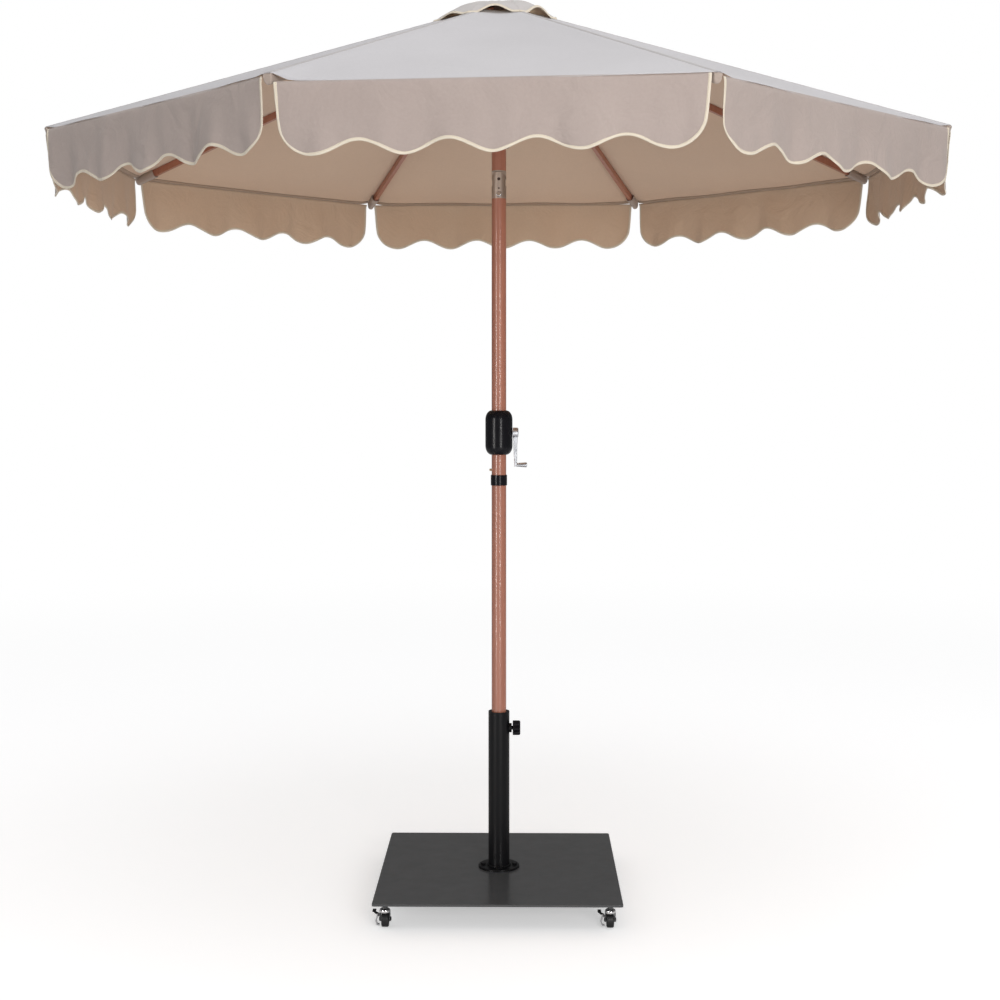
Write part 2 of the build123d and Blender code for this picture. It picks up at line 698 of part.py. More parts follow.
# winding drum on the crank shaft inside the pole, and the ratchet wheel beside the pole
ratchet_near = pole_radius + 2
ratchet_far = housing_radius - housing_wall - 4
with BuildPart() as winding_drum:
    with BuildSketch(Plane.YZ.offset(-drum_half_length)):
        with Locations((0, crank_height)):
            Circle(drum_flange_radius)
    extrude(amount=2 * drum_half_length)
    with BuildSketch(Plane.YZ.offset(-drum_half_length + 2)):
        with Locations((0, crank_height)):
            Circle(drum_flange_radius + 1)
            Circle(drum_core_radius, mode=Mode.SUBTRACT)
    extrude(amount=2 * drum_half_length - 4, mode=Mode.SUBTRACT)
    with BuildSketch(Plane.YZ.offset(-drum_half_length)):
        with Locations((0, crank_height)):
            Circle(crank_shaft_radius)
    extrude(amount=2 * drum_half_length, mode=Mode.SUBTRACT)
with BuildPart() as ratchet_wheel:
    with BuildSketch(Plane.YZ.offset(ratchet_near)):
        with Locations((0, crank_height)):
            Circle(ratchet_radius)
            with PolarLocations(ratchet_radius, ratchet_teeth):
                Rectangle(3, 4)
            Circle(crank_shaft_radius, mode=Mode.SUBTRACT)
    extrude(amount=ratchet_far - ratchet_near)
winding_drum.part = Compound(children=[winding_drum.part, ratchet_wheel.part])
finish(winding_drum, "winding_drum")

# ================================ rolling base ================================

caster_spots = [(x * caster_centre, y * caster_centre) for x in (-1, 1) for y in (-1, 1)]

# base plate with its four caster studs, each a spacer above a plain bearing neck
with BuildPart() as base_plate:
    with BuildSketch(Plane.XY.offset(plate_underside)):
        RectangleRounded(plate_side, plate_side, 6)
    extrude(amount=plate_thickness)
    chamfer(base_plate.faces().sort_by(Axis.Z)[-1].edges(), 0.8)
with BuildPart() as caster_studs:
    with BuildSketch(Plane.XY.offset(plate_underside)):
        with Locations(*caster_spots):
            Circle(caster_spacer_radius)
    extrude(amount=-caster_spacer_length)
    with BuildSketch(Plane.XY.offset(plate_underside - caster_spacer_length)):
        with Locations(*caster_spots):
            Circle(caster_stud_radius)
    extrude(amount=-fork_head_thickness)
base_plate.part = Compound(children=[base_plate.part, *caster_studs.part.solids()])
finish(base_plate, "base_plate")

# base stem: tube welded to a round flange, with its reducer ring and four flange bolts
with BuildPart() as base_stem:
    with BuildSketch(Plane.XY.offset(plate_top)):
        Circle(stem_flange_radius)
    extrude(amount=stem_flange_thickness)
    fillet(base_stem.faces().sort_by(Axis.Z)[-1].edges(), 2)
    with BuildSketch(Plane.XY.offset(plate_top)):
        Circle(stem_radius)
    extrude(amount=stem_top - plate_top)
    with BuildSketch(Plane.XY.offset(plate_top)):
        Circle(stem_radius - stem_wall)
    extrude(amount=stem_top - plate_top, mode=Mode.SUBTRACT)
    with BuildSketch(Plane.YZ.offset(stem_radius - 1.5)):
        with Locations((0, clamp_height)):
            Circle(clamp_boss_radius)
    extrude(amount=clamp_boss_length + 1.5)
    with BuildSketch(Plane.YZ):
        with Locations((0, clamp_height)):
            Circle(clamp_screw_radius + pin_clearance)
    extrude(amount=2 * stem_radius, mode=Mode.SUBTRACT)
with BuildPart() as reducer_ring:
    with BuildSketch(Plane.XY.offset(stem_top - reducer_length)):
        Circle(stem_radius - stem_wall)
        Circle(pole_radius + 0.4, mode=Mode.SUBTRACT)
    extrude(amount=reducer_length - 1)
    with BuildSketch(Plane.YZ):
        with Locations((0, clamp_height)):
            Circle(clamp_screw_radius + 1)
    extrude(amount=2 * stem_radius, mode=Mode.SUBTRACT)
with BuildPart() as flange_bolts:
    with BuildSketch(Plane.XY.offset(plate_top + stem_flange_thickness)):
        with PolarLocations(stem_bolt_circle / 2, 4, start_angle=0):
            RegularPolygon(6.0, 6)
    extrude(amount=4.5)
base_stem.part = Compound(children=[base_stem.part, reducer_ring.part, *flange_bolts.part.solids()])
finish(base_stem, "base_stem")

# clamp knob: six-lobed knob moulded on its screw, which stops just short of the pole
with BuildPart() as clamp_knob:
    with BuildSketch(Plane.YZ.offset(clamp_knob_near)):
        with Locations((0, clamp_height)):
            Circle(clamp_knob_radius - 4)
            with PolarLocations(clamp_knob_radius - 6, 6):
                Circle(6)
    extrude(amount=clamp_knob_far - clamp_knob_near)
    fillet(clamp_knob.faces().sort_by(Axis.X)[-1].edges(), 4)
    fillet(clamp_knob.faces().sort_by(Axis.X)[0].edges(), 2)
    with BuildSketch(Plane.YZ.offset(pole_radius + 0.5)):
        with Locations((0, clamp_height)):
            Circle(clamp_screw_radius)
    extrude(amount=clamp_knob_near - pole_radius)
finish(clamp_knob, "clamp_knob")


def make_caster(number, spot, has_brake):
    """Swivel fork with its axle, the wheel, and on the front pair a foot brake."""
    x, y = spot
    axle_y = y + caster_trail
    cheek_inner = wheel_width / 2 + wheel_side_gap
    cheek_outer = cheek_inner + fork_plate
    brake_pivot_x = x - cheek_outer - brake_pivot_out
    brake_pivot_z = wheel_radius + brake_pivot_rise
    with BuildPart() as fork:
        with BuildSketch(Plane.XY.offset(fork_head_bottom)):
            with Locations((x, y)):
                Circle(fork_head_radius)
        extrude(amount=fork_head_thickness)
        fillet(fork.faces().sort_by(Axis.Z)[-1].edges(), 4)
        with BuildSketch(Plane.YZ.offset(x)):
            with BuildLine():
                Polyline(
                    (y - 7, fork_head_bottom + 3),
                    (y + 9, fork_head_bottom + 3),
                    (axle_y + fork_foot_radius, wheel_radius),
                    (axle_y - fork_foot_radius, wheel_radius),
                    close=True,
                )
            make_face()
            with Locations((axle_y, wheel_radius)):
                Circle(fork_foot_radius)
        extrude(amount=cheek_outer, both=True)
        with BuildSketch(Plane.YZ.offset(x)):
            with Locations((axle_y, fork_head_bottom)):
                Rectangle(8 * fork_head_radius, 4 * wheel_radius, align=(Align.CENTER, Align.MAX))
        extrude(amount=cheek_inner, both=True, mode=Mode.SUBTRACT)
        with BuildSketch(Plane.XY.offset(fork_head_bottom)):
            with Locations((x, y)):
                Circle(caster_stud_radius + pin_clearance)
        extrude(amount=fork_head_thickness, mode=Mode.SUBTRACT)
        if has_brake:
            with BuildSketch(Plane.XZ.offset(-axle_y + 7)):
                with Locations((brake_pivot_x, brake_pivot_z)):
                    Rectangle(x - cheek_outer + 0.5 - brake_pivot_x, 4, align=(Align.MIN, Align.CENTER))
                    Circle(2)
            extrude(amount=2)
            with BuildSketch(Plane.XZ.offset(-axle_y + 7)):
                with Locations((brake_pivot_x, brake_pivot_z)):
                    Circle(brake_pivot_radius)
            extrude(amount=-brake_width - 2)
        with BuildSketch(Plane.YZ.offset(x)):
            with Locations((axle_y, wheel_radius)):
                Circle(axle_radius)
        extrude(amount=2 * cheek_outer, both=True, mode=Mode.SUBTRACT)
    with BuildPart() as axle:
        with BuildSketch(Plane.YZ.offset(x)):
            with Locations((axle_y, wheel_radius)):
                Circle(axle_radius)
        extrude(amount=cheek_outer, both=True)
        for end in (-1, 1):
            with BuildSketch(Plane.YZ.offset(x + end * cheek_outer)):
                with Locations((axle_y, wheel_radius)):
                    RegularPolygon(5, 6)
            extrude(amount=end * 2.2)
    fork.part = Compound(children=[fork.part, axle.part])
    finish(fork, f"caster_fork_{number}")
    with BuildPart() as wheel:
        with BuildSketch(Plane.YZ.offset(x)):
            with Locations((axle_y, wheel_radius)):
                Circle(wheel_radius)
        extrude(amount=wheel_width / 2, both=True)
        fillet(wheel.edges().filter_by(GeomType.CIRCLE), 3.5)
        with BuildSketch(Plane.YZ.offset(x)):
            with Locations((axle_y, wheel_radius)):
                Circle(axle_radius + pin_clearance)
        extrude(amount=wheel_width, both=True, mode=Mode.SUBTRACT)
    finish(wheel, f"caster_wheel_{number}")
    if has_brake:
        with BuildPart() as lever:
            with BuildSketch(Plane.XZ.offset(-axle_y + 6.6)):
                with BuildLine():
                    Polyline(
                        (brake_pivot_x + 2.5, brake_pivot_z + 3),
                        (brake_pivot_x - 7.0, brake_pivot_z + 8),
                        (brake_pivot_x - 12.5, brake_pivot_z + 8),
                        (brake_pivot_x - 3.5, brake_pivot_z),
                        (brake_pivot_x - 7.5, brake_pivot_z - 14),
                        (brake_pivot_x - 4.0, brake_pivot_z - 25),
                        (brake_pivot_x + 3.0, brake_pivot_z - 25.5),
                        (brake_pivot_x + 3.0, brake_pivot_z - 22),
                        (brake_pivot_x - 2.0, brake_pivot_z - 21),
                        (brake_pivot_x - 4.0, brake_pivot_z - 14),
                        (brake_pivot_x + 0.5, brake_pivot_z - 3),
                        close=True,
                    )
                make_face()
                with Locations((brake_pivot_x, brake_pivot_z)):
                    Circle(3.4)
                    Circle(brake_pivot_radius + pin_clearance, mode=Mode.SUBTRACT)
            extrude(amount=-brake_width)
        with BuildPart() as pedal:
            with BuildSketch(Plane.XZ.offset(-axle_y + 9)):
                with Locations((brake_pivot_x - 9.7, brake_pivot_z + 8)):
                    RectangleRounded(9, 4.5, 1.5, align=(Align.CENTER, Align.MIN))
            extrude(amount=-pedal_width)
        lever.part = Compound(children=[lever.part, pedal.part])
        finish(lever, f"brake_lever_{number}")


for number, spot in enumerate(caster_spots):
    make_caster(number + 1, spot, spot[1] < 0)

print("hub pivots at", round(hub_height, 2), "runner pivots at", round(runner_height, 2))
print("strut length", round(strut_length, 2), "rib slope", round(degrees(slope), 3))
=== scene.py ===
import bpy
from math import atan2, cos, exp, hypot, pi, radians, sin, sqrt, tan
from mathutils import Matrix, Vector


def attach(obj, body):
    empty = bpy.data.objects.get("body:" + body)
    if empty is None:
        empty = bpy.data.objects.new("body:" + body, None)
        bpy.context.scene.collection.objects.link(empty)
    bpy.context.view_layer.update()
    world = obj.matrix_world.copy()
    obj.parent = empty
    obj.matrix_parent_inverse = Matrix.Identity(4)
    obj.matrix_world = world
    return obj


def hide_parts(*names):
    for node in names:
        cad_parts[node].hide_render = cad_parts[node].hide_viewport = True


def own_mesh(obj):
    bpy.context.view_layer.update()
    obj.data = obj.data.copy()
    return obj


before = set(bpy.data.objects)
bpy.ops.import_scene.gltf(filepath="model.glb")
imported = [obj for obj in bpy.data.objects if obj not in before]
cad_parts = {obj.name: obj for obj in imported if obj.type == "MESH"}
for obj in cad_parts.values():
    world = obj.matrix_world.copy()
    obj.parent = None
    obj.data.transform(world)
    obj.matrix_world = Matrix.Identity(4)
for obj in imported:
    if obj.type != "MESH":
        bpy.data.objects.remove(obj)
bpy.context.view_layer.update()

# ======================================================================================
# Floor, light and camera. The umbrella stands on a plain pale floor that runs out into a
# white surround. A wide soft lamp stands in front and one above. Two narrow strips beside
# the camera only show as highlights, in the pole and the crank housing.
# ======================================================================================
scene = bpy.context.scene
scene.view_settings.view_transform = "Standard"
surround = bpy.data.worlds.new("surround")
scene.world = surround
surround.use_nodes = True
backing = surround.node_tree.nodes["Background"]
backing.inputs["Color"].default_value = (1.0, 1.0, 1.0, 1)
# the surround is white to look at, and a little dimmer as a light and in reflections
ray = surround.node_tree.nodes.new("ShaderNodeLightPath")
dim = surround.node_tree.nodes.new("ShaderNodeMapRange")
dim.inputs["To Min"].default_value = 0.56
dim.inputs["To Max"].default_value = 0.16
surround.node_tree.links.new(ray.outputs["Is Glossy Ray"], dim.inputs["Value"])
seen = surround.node_tree.nodes.new("ShaderNodeMath")
seen.operation = "MAXIMUM"
surround.node_tree.links.new(dim.outputs["Result"], seen.inputs[0])
surround.node_tree.links.new(ray.outputs["Is Camera Ray"], seen.inputs[1])
surround.node_tree.links.new(seen.outputs["Value"], backing.inputs["Strength"])


def start_material(name, roughness, metallic=0.0):
    """A new material. Gives the material, its node tree, and its shader."""
    made = bpy.data.materials.new(name)
    made.use_nodes = True
    shader = made.node_tree.nodes["Principled BSDF"]
    shader.inputs["Roughness"].default_value = roughness
    shader.inputs["Metallic"].default_value = metallic
    return made, made.node_tree, shader


bpy.ops.object.select_all(action="DESELECT")
bpy.ops.mesh.primitive_circle_add(vertices=96, radius=30, fill_type="TRIFAN", location=(0, 0, 0))
floor = bpy.context.object
floor.name = "floor"
floor_paint, tree, shader = start_material("floor_paint", 0.7)
shader.inputs["Base Color"].default_value = (0.86, 0.86, 0.865, 1)
shader.inputs["Specular IOR Level"].default_value = 0.2
floor_place = tree.nodes.new("ShaderNodeTexCoord")
floor_reach = tree.nodes.new("ShaderNodeVectorMath")
floor_reach.operation = "LENGTH"
tree.links.new(floor_place.outputs["Object"], floor_reach.inputs[0])
floor_fade = tree.nodes.new("ShaderNodeMapRange")
floor_fade.inputs["From Min"].default_value = 1.6
floor_fade.inputs["From Max"].default_value = 7.0
floor_fade.interpolation_type = "SMOOTHSTEP"
tree.links.new(floor_reach.outputs["Value"], floor_fade.inputs["Value"])
# the floor shows nearly white, without throwing all of that light back up at the umbrella
floor_ray = tree.nodes.new("ShaderNodeLightPath")
floor_lift = tree.nodes.new("ShaderNodeMath")
floor_lift.operation = "MULTIPLY"
floor_lift.inputs[1].default_value = 0.42
tree.links.new(floor_ray.outputs["Is Camera Ray"], floor_lift.inputs[0])
shader.inputs["Emission Color"].default_value = (1, 1, 1, 1)
tree.links.new(floor_lift.outputs["Value"], shader.inputs["Emission Strength"])
floor_glow = tree.nodes.new("ShaderNodeEmission")
floor_glow.inputs["Color"].default_value = (1, 1, 1, 1)
far_lift = tree.nodes.new("ShaderNodeMapRange")
far_lift.inputs["To Min"].default_value = 0.30
far_lift.inputs["To Max"].default_value = 1.0
tree.links.new(floor_ray.outputs["Is Camera Ray"], far_lift.inputs["Value"])
tree.links.new(far_lift.outputs["Result"], floor_glow.inputs["Strength"])
floor_mix = tree.nodes.new("ShaderNodeMixShader")
tree.links.new(floor_fade.outputs["Result"], floor_mix.inputs["Fac"])
tree.links.new(shader.outputs["BSDF"], floor_mix.inputs[1])
tree.links.new(floor_glow.outputs["Emission"], floor_mix.inputs[2])
tree.links.new(floor_mix.outputs["Shader"], tree.nodes["Material Output"].inputs["Surface"])
floor.data.materials.append(floor_paint)


def soft_lamp(name, place, aim, width, height, power, tint):
    """A rectangular lamp that shines towards a point and isn't seen by the camera."""
    bpy.ops.object.select_all(action="DESELECT")
    bpy.ops.object.light_add(type="AREA", location=place)
    lamp = bpy.context.object
    lamp.name = name
    lamp.visible_camera = False
    lamp.data.shape = "RECTANGLE"
    lamp.data.size = width
    lamp.data.size_y = height
    lamp.data.energy = power
    lamp.data.color = tint
    lamp.rotation_euler = (Vector(aim) - Vector(place)).to_track_quat("-Z", "Y").to_euler()


soft_lamp("key_lamp", (1.5, -5.1, 1.6), (0, 0, 1.7), 2.4, 1.8, 130, (1.0, 0.99, 0.98))
soft_lamp("top_lamp", (0.3, -1.2, 5.4), (0, -0.3, 2.1), 4.0, 4.0, 72, (0.97, 0.98, 1.0))
soft_lamp("right_strip", (1.15, -3.45, 1.0), (0, 0, 1.0), 0.16, 2.0, 44, (1.0, 0.98, 0.97))
soft_lamp("left_strip", (-2.35, -2.7, 1.0), (0, 0, 1.0), 0.30, 2.0, 52, (1.0, 0.97, 0.95))
for wide in ("key_lamp", "top_lamp"):
    bpy.data.objects[wide].visible_glossy = False
for narrow in ("right_strip", "left_strip"):
    bpy.data.objects[narrow].visible_diffuse = False

camera_turn = 0.0115
camera_distance = 4.0675
camera_height = 1.3156
camera_aside = 0.0028
sensor_width = 36
camera_x = camera_distance * sin(camera_turn) + camera_aside
camera_y = -camera_distance * cos(camera_turn)
bpy.ops.object.camera_add(
    location=(camera_x, camera_y, camera_height),
    rotation=(radians(90), 0, camera_turn),
)
camera = bpy.context.object
camera.name = "camera"
camera.data.sensor_width = sensor_width
camera.data.lens = 1.5549 * sensor_width
camera.data.shift_y = -0.1109
camera.data.clip_end = 100
scene.camera = camera

# ======================================================================================
# Cover. Eight gores of light taupe polyester, about 250 g/m2, are sewn edge to edge with a
# felled seam over each rib, and pulled taut by the ribs, so each gore hangs in a little
# between them. The gore's rim is turned under and stitched.
# ======================================================================================
gore_count = 8
half_gore = pi / gore_count
cover_radius = 1.145
apex_height = 2.321
rim_height = 1.928
rim_reach = cover_radius * cos(half_gore)
rim_half = cover_radius * sin(half_gore)
vent_share = 0.110 / cover_radius
gore_slope = atan2(apex_height - rim_height, rim_reach)
gore_slant = rim_reach / cos(gore_slope)
cloth_thickness = 0.0009
cloth_rise = 0.0012
gore_sag = 0.013
# the gore runs this little past the seam, as a lip over the top of its valance
rim_lip = 0.0028
# how far the two ends of each rim hang below the rib tips they are tied to
rim_drops = {
    1: (0.004, 0.003), 2: (0.003, 0.005), 3: (0.005, 0.003), 4: (0.003, 0.004),
    5: (0.004, 0.003), 6: (0.015, -0.001), 7: (0.004, 0.004), 8: (0.004, 0.003),
}


def gore_axes(number):
    """Outward and sideways directions of a gore's middle."""
    turn = number * 2 * half_gore
    return Vector((cos(turn), sin(turn), 0)), Vector((-sin(turn), cos(turn), 0))


def ripple(along, seed):
    """Uneven fine waviness, from about -1 to 1, as stitching leaves in a long seam."""
    return (
        0.45 * sin(along * 71 + seed)
        + 0.33 * sin(along * 113 + 2.1 * seed + 1)
        + 0.22 * sin(along * 187 + 3.7 * seed + 2)
    )


def cover_point(number, share, across):
    """Point of the cover: share runs from the apex (0) to the rim (1), across from -1 to 1."""
    outward, sideways = gore_axes(number)
    edge = abs(across)
    out = share * rim_reach
    side = across * share * rim_half
    height = apex_height - share * (apex_height - rim_height)
    belly = (share - vent_share) / (1 - vent_share)
    from_rib = max(0, (1 - edge) * share * rim_half - 0.010)
    clear = 1 - exp(-(from_rib / 0.03) ** 2)
    sink = gore_sag * (1 - across * across) * (0.25 + 0.75 * sin(pi * min(1, belly) ** 1.15)) * clear
    left_drop, right_drop = rim_drops[number]
    tied = 1 - exp(-(from_rib / 0.022) ** 2)
    drop = (left_drop * (1 - across) / 2 + right_drop * (1 + across) / 2) * tied
    sink += drop * max(0, belly) ** 6
    sink += 0.0012 * exp(-from_rib / 0.028) * (1 + ripple(out, number + across)) * clear
    sink += 0.0016 * sin(9 * out + number) * sin(21 * side + 2 * number) * clear
    lift = Vector((0, 0, cos(gore_slope))) + outward * sin(gore_slope)
    return outward * out + sideways * side + Vector((0, 0, height)) + lift * (cloth_rise - sink)


def make_surface(name, rows, columns, place, measure):
    """A grid of quads. place and measure give a point and its flat position, from two shares."""
    points = []
    flat = []
    for row in range(rows + 1):
        for column in range(columns + 1):
            points.append(place(row / rows, column / columns))
            flat.append(measure(row / rows, column / columns))
    quads = []
    for row in range(rows):
        for column in range(columns):
            corner = row * (columns + 1) + column
            quads.append((corner, corner + columns + 1, corner + columns + 2, corner + 1))
    mesh = bpy.data.meshes.new(name)
    mesh.from_pydata([tuple(point) for point in points], [], quads)
    layer = mesh.uv_layers.new(name="cut")
    for loop in mesh.loops:
        layer.data[loop.index].uv = flat[loop.vertex_index]
    piece = bpy.data.objects.new(name, mesh)
    scene.collection.objects.link(piece)
    mesh.shade_smooth()
    return piece


def select_only(piece):
    bpy.ops.object.select_all(action="DESELECT")
    piece.select_set(True)
    bpy.context.view_layer.objects.active = piece


def give_thickness(piece, thickness, inside_slot=1, offset=-1):
    """Turn a surface into cloth of real thickness, whose inside may have another material."""
    wall = piece.modifiers.new("wall", "SOLIDIFY")
    wall.thickness = thickness
    wall.offset = offset
    wall.material_offset = inside_slot
    wall.material_offset_rim = 0
    wall.use_even_offset = True
    select_only(piece)
    bpy.ops.object.modifier_apply(modifier=wall.name)


def cloth_material(name, colour, deeper, crease=0.35):
    """Woven polyester: plain weave of 0.9 mm, slubs, faint washed-out patches, soft creases."""
    made, tree, shader = start_material(name, 0.88)
    shader.inputs["Sheen Weight"].default_value = 0.22
    shader.inputs["Sheen Roughness"].default_value = 0.55
    shader.inputs["Sheen Tint"].default_value = (1, 0.97, 0.94, 1)
    shader.inputs["Specular IOR Level"].default_value = 0.22
    nodes = tree.nodes
    links = tree.links
    place = nodes.new("ShaderNodeTexCoord")
    warp = nodes.new("ShaderNodeTexWave")
    warp.bands_direction = "X"
    weft = nodes.new("ShaderNodeTexWave")
    weft.bands_direction = "Y"
    for thread in (warp, weft):
        # threads lie 2 pi / (20 x this scale) apart, here 0.9 mm
        thread.inputs["Scale"].default_value = 349
        thread.inputs["Distortion"].default_value = 0.6
        thread.inputs["Detail Scale"].default_value = 2
        links.new(place.outputs["UV"], thread.inputs["Vector"])
    weave = nodes.new("ShaderNodeMath")
    weave.operation = "MULTIPLY"
    links.new(warp.outputs["Fac"], weave.inputs[0])
    links.new(weft.outputs["Fac"], weave.inputs[1])
    slub = nodes.new("ShaderNodeTexNoise")
    slub.inputs["Scale"].default_value = 160
    slub.inputs["Detail"].default_value = 3
    links.new(place.outputs["Object"], slub.inputs["Vector"])
    patches = nodes.new("ShaderNodeTexNoise")
    patches.inputs["Scale"].default_value = 3.2
    patches.inputs["Detail"].default_value = 4
    links.new(place.outputs["Object"], patches.inputs["Vector"])
    fade = nodes.new("ShaderNodeMapRange")
    fade.inputs["From Min"].default_value = 0.3
    fade.inputs["From Max"].default_value = 0.7
    links.new(patches.outputs["Fac"], fade.inputs["Value"])
    tone = nodes.new("ShaderNodeMix")
    tone.data_type = "RGBA"
    tone.inputs[6].default_value = (*colour, 1)
    tone.inputs[7].default_value = (*deeper, 1)
    links.new(fade.outputs["Result"], tone.inputs[0])
    fleck = nodes.new("ShaderNodeMapRange")
    fleck.inputs["From Min"].default_value = 0.35
    fleck.inputs["From Max"].default_value = 0.65
    fleck.inputs["To Min"].default_value = 0.985
    fleck.inputs["To Max"].default_value = 1.015
    links.new(slub.outputs["Fac"], fleck.inputs["Value"])
    yarn = nodes.new("ShaderNodeMapRange")
    yarn.inputs["To Min"].default_value = 0.965
    yarn.inputs["To Max"].default_value = 1.02
    links.new(weave.outputs["Value"], yarn.inputs["Value"])
    shade = nodes.new("ShaderNodeMath")
    shade.operation = "MULTIPLY"
    links.new(fleck.outputs["Result"], shade.inputs[0])
    links.new(yarn.outputs["Result"], shade.inputs[1])
    painted = nodes.new("ShaderNodeVectorMath")
    painted.operation = "SCALE"
    links.new(tone.outputs[2], painted.inputs[0])
    links.new(shade.outputs["Value"], painted.inputs["Scale"])
    links.new(painted.outputs["Vector"], shader.inputs["Base Color"])
    creases = nodes.new("ShaderNodeTexNoise")
    creases.inputs["Scale"].default_value = 11
    creases.inputs["Detail"].default_value = 4
    creases.inputs["Distortion"].default_value = 0.9
    links.new(place.outputs["Object"], creases.inputs["Vector"])
    soft = nodes.new("ShaderNodeBump")
    soft.inputs["Strength"].default_value = crease
    soft.inputs["Distance"].default_value = 0.012
    links.new(creases.outputs["Fac"], soft.inputs["Height"])
    fine = nodes.new("ShaderNodeBump")
    fine.inputs["Strength"].default_value = 0.25
    fine.inputs["Distance"].default_value = 0.0003
    links.new(weave.outputs["Value"], fine.inputs["Height"])
    links.new(soft.outputs["Normal"], fine.inputs["Normal"])
    links.new(fine.outputs["Normal"], shader.inputs["Normal"])
    return made


def hang_on(piece, number, body):
    """The piece swings with its side of the cover."""
    fold_axis = tuple(gore_axes(number)[1])
    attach(piece, body)
    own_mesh(piece)


# the outside of the gores is painted greyer and lighter than the valance's same taupe cloth, as painted
# light: bluish skylight and sheen on the cover's top
cover_outside_painted_light = cloth_material("cover_outside_painted_light", (0.535, 0.522, 0.540), (0.510, 0.497, 0.514), crease=0.18)
# the inside of the gores is the cloth's colour made lighter and warmer with painted light, the light that
# shines through the cloth
cover_inside_painted_light = cloth_material("cover_inside_painted_light", (0.695, 0.500, 0.360), (0.660, 0.472, 0.340), crease=0.25)

for number in range(1, gore_count + 1):

    def place(down, over):
        lip = rim_lip / rim_reach * down ** 40 * min(1, 6 * min(over, 1 - over))
        return cover_point(number, vent_share + down * (1 - vent_share) + lip, 2 * over - 1)

    def measure(down, over):
        share = vent_share + down * (1 - vent_share)
        return ((2 * over - 1) * share * rim_half, -share * gore_slant)

    gore = make_surface(f"cover_gore_{number}", 60, 64, place, measure)
    gore.data.materials.append(cover_outside_painted_light)
    gore.data.materials.append(cover_inside_painted_light)
    give_thickness(gore, cloth_thickness)
    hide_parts(f"canopy_panel_{number}")
    hang_on(gore, number, f"canopy_panel_{number}")

# ======================================================================================
# Rim hem. The turned-under edge of each gore is a double band 14 mm wide inside the rim,
# sewn down with the top of the valance caught in it. A gore and its hem are one sheet.
# ======================================================================================
# the hem is painted darker than the cloth, as painted shade in a band just inside the rim
hem_cloth_painted_shade = cloth_material("hem_cloth_painted_shade", (0.40, 0.285, 0.205), (0.37, 0.26, 0.185))
hem_width = 0.014
hem_thickness = 0.0012
hem_start = 0.9865
hem_share = 0.0128
for number in range(1, gore_count + 1):

    def place(down, over):
        point = cover_point(number, hem_start + hem_share * down, (2 * over - 1) * 0.965)
        return point - Vector((0, 0, 0.0014 + 0.0009 * sin(pi * down)))

    def measure(down, over):
        return ((2 * over - 1) * rim_half, down * hem_width)

    hem = make_surface(f"rim_hem_{number}", 4, 64, place, measure)
    hem.data.materials.append(hem_cloth_painted_shade)
    give_thickness(hem, hem_thickness, inside_slot=0)
    hang_on(hem, number, f"canopy_panel_{number}")

# ======================================================================================
# Valance. A strip of the same cloth hangs from each side of the rim. Its lower edge is cut
# in five soft scallops with rounded ends, and it hangs in shallow uneven folds.
# ======================================================================================
valance_corner_gap = 0.014
valance_taper = 0.006
valance_top_half = rim_half - valance_corner_gap
valance_low_half = valance_top_half - valance_taper
valance_drop = 0.145
scallop_pitch = 0.173
scallop_rise = 0.027
corner_rise = 0.072
valance_reach = rim_reach + 0.0012


def valance_depth(side):
    """How far the valance hangs down at a place along its lower edge."""
    away = abs(side)
    last_low = 2 * scallop_pitch
    if away > last_low:
        bend = min(1, (away - last_low) / (valance_low_half - last_low))
        return valance_drop - corner_rise * (1 - sqrt(max(0, 1 - bend * bend)))
    return valance_drop - scallop_rise * (1 - cos(2 * pi * away / scallop_pitch)) / 2


def valance_point(number, down, across):
    """Point of a valance: down from the seam (0) to its edge (1), across from -1 to 1."""
    outward, sideways = gore_axes(number)
    side = across * (valance_top_half - valance_taper * down)
    depth = valance_depth(across * valance_low_half)
    left_drop, right_drop = rim_drops[number]
    drop = left_drop * (1 - across) / 2 + right_drop * (1 + across) / 2
    hang = down * depth / valance_drop
    fold = 0.0075 * sin(2 * pi * side / 0.236 + 1.3 * number + 0.9 * down)
    fold += 0.0042 * sin(2 * pi * side / 0.131 + 2.9 * number + 1 - 0.7 * down)
    fold += 0.0016 * sin(2 * pi * side / 0.061 + number * number)
    curl = max(0, abs(side) - 0.350) / 0.075
    roll = 0.0045 * (1 - exp(-16 * down)) - 0.0015
    swing = roll + fold * hang ** 1.2 - 0.011 * curl * curl * hang - 0.004 * hang
    height = rim_height - 0.0008 - drop - down * depth
    return outward * (valance_reach + swing) + sideways * side + Vector((0, 0, height))


valance_outside = cloth_material(
    "valance_outside", (0.415, 0.344, 0.314), (0.382, 0.315, 0.287), crease=0.7
)
# the valance's inside is painted lighter and warmer than its outside, though they are one cloth: painted
# light shining through it
valance_inside_painted_light = cloth_material(
    "valance_inside_painted_light", (0.650, 0.480, 0.345), (0.605, 0.446, 0.318), crease=0.6
)

for number in range(1, gore_count + 1):

    def place(down, over):
        return valance_point(number, down, 2 * over - 1)

    def measure(down, over):
        across = 2 * over - 1
        return (across * valance_top_half, -down * valance_depth(across * valance_low_half))

    valance = make_surface(f"valance_cloth_{number}", 18, 140, place, measure)
    valance.data.materials.append(valance_outside)
    valance.data.materials.append(valance_inside_painted_light)
    give_thickness(valance, cloth_thickness)
    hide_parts(f"valance_{number}")
    hang_on(valance, number, f"valance_{number}")

# ======================================================================================
# Binding. Cream bias tape 7 mm wide is folded over the ends and the scalloped edge of each
# valance and sewn through with one line of stitches. It goes with the valance's sheet.
# ======================================================================================


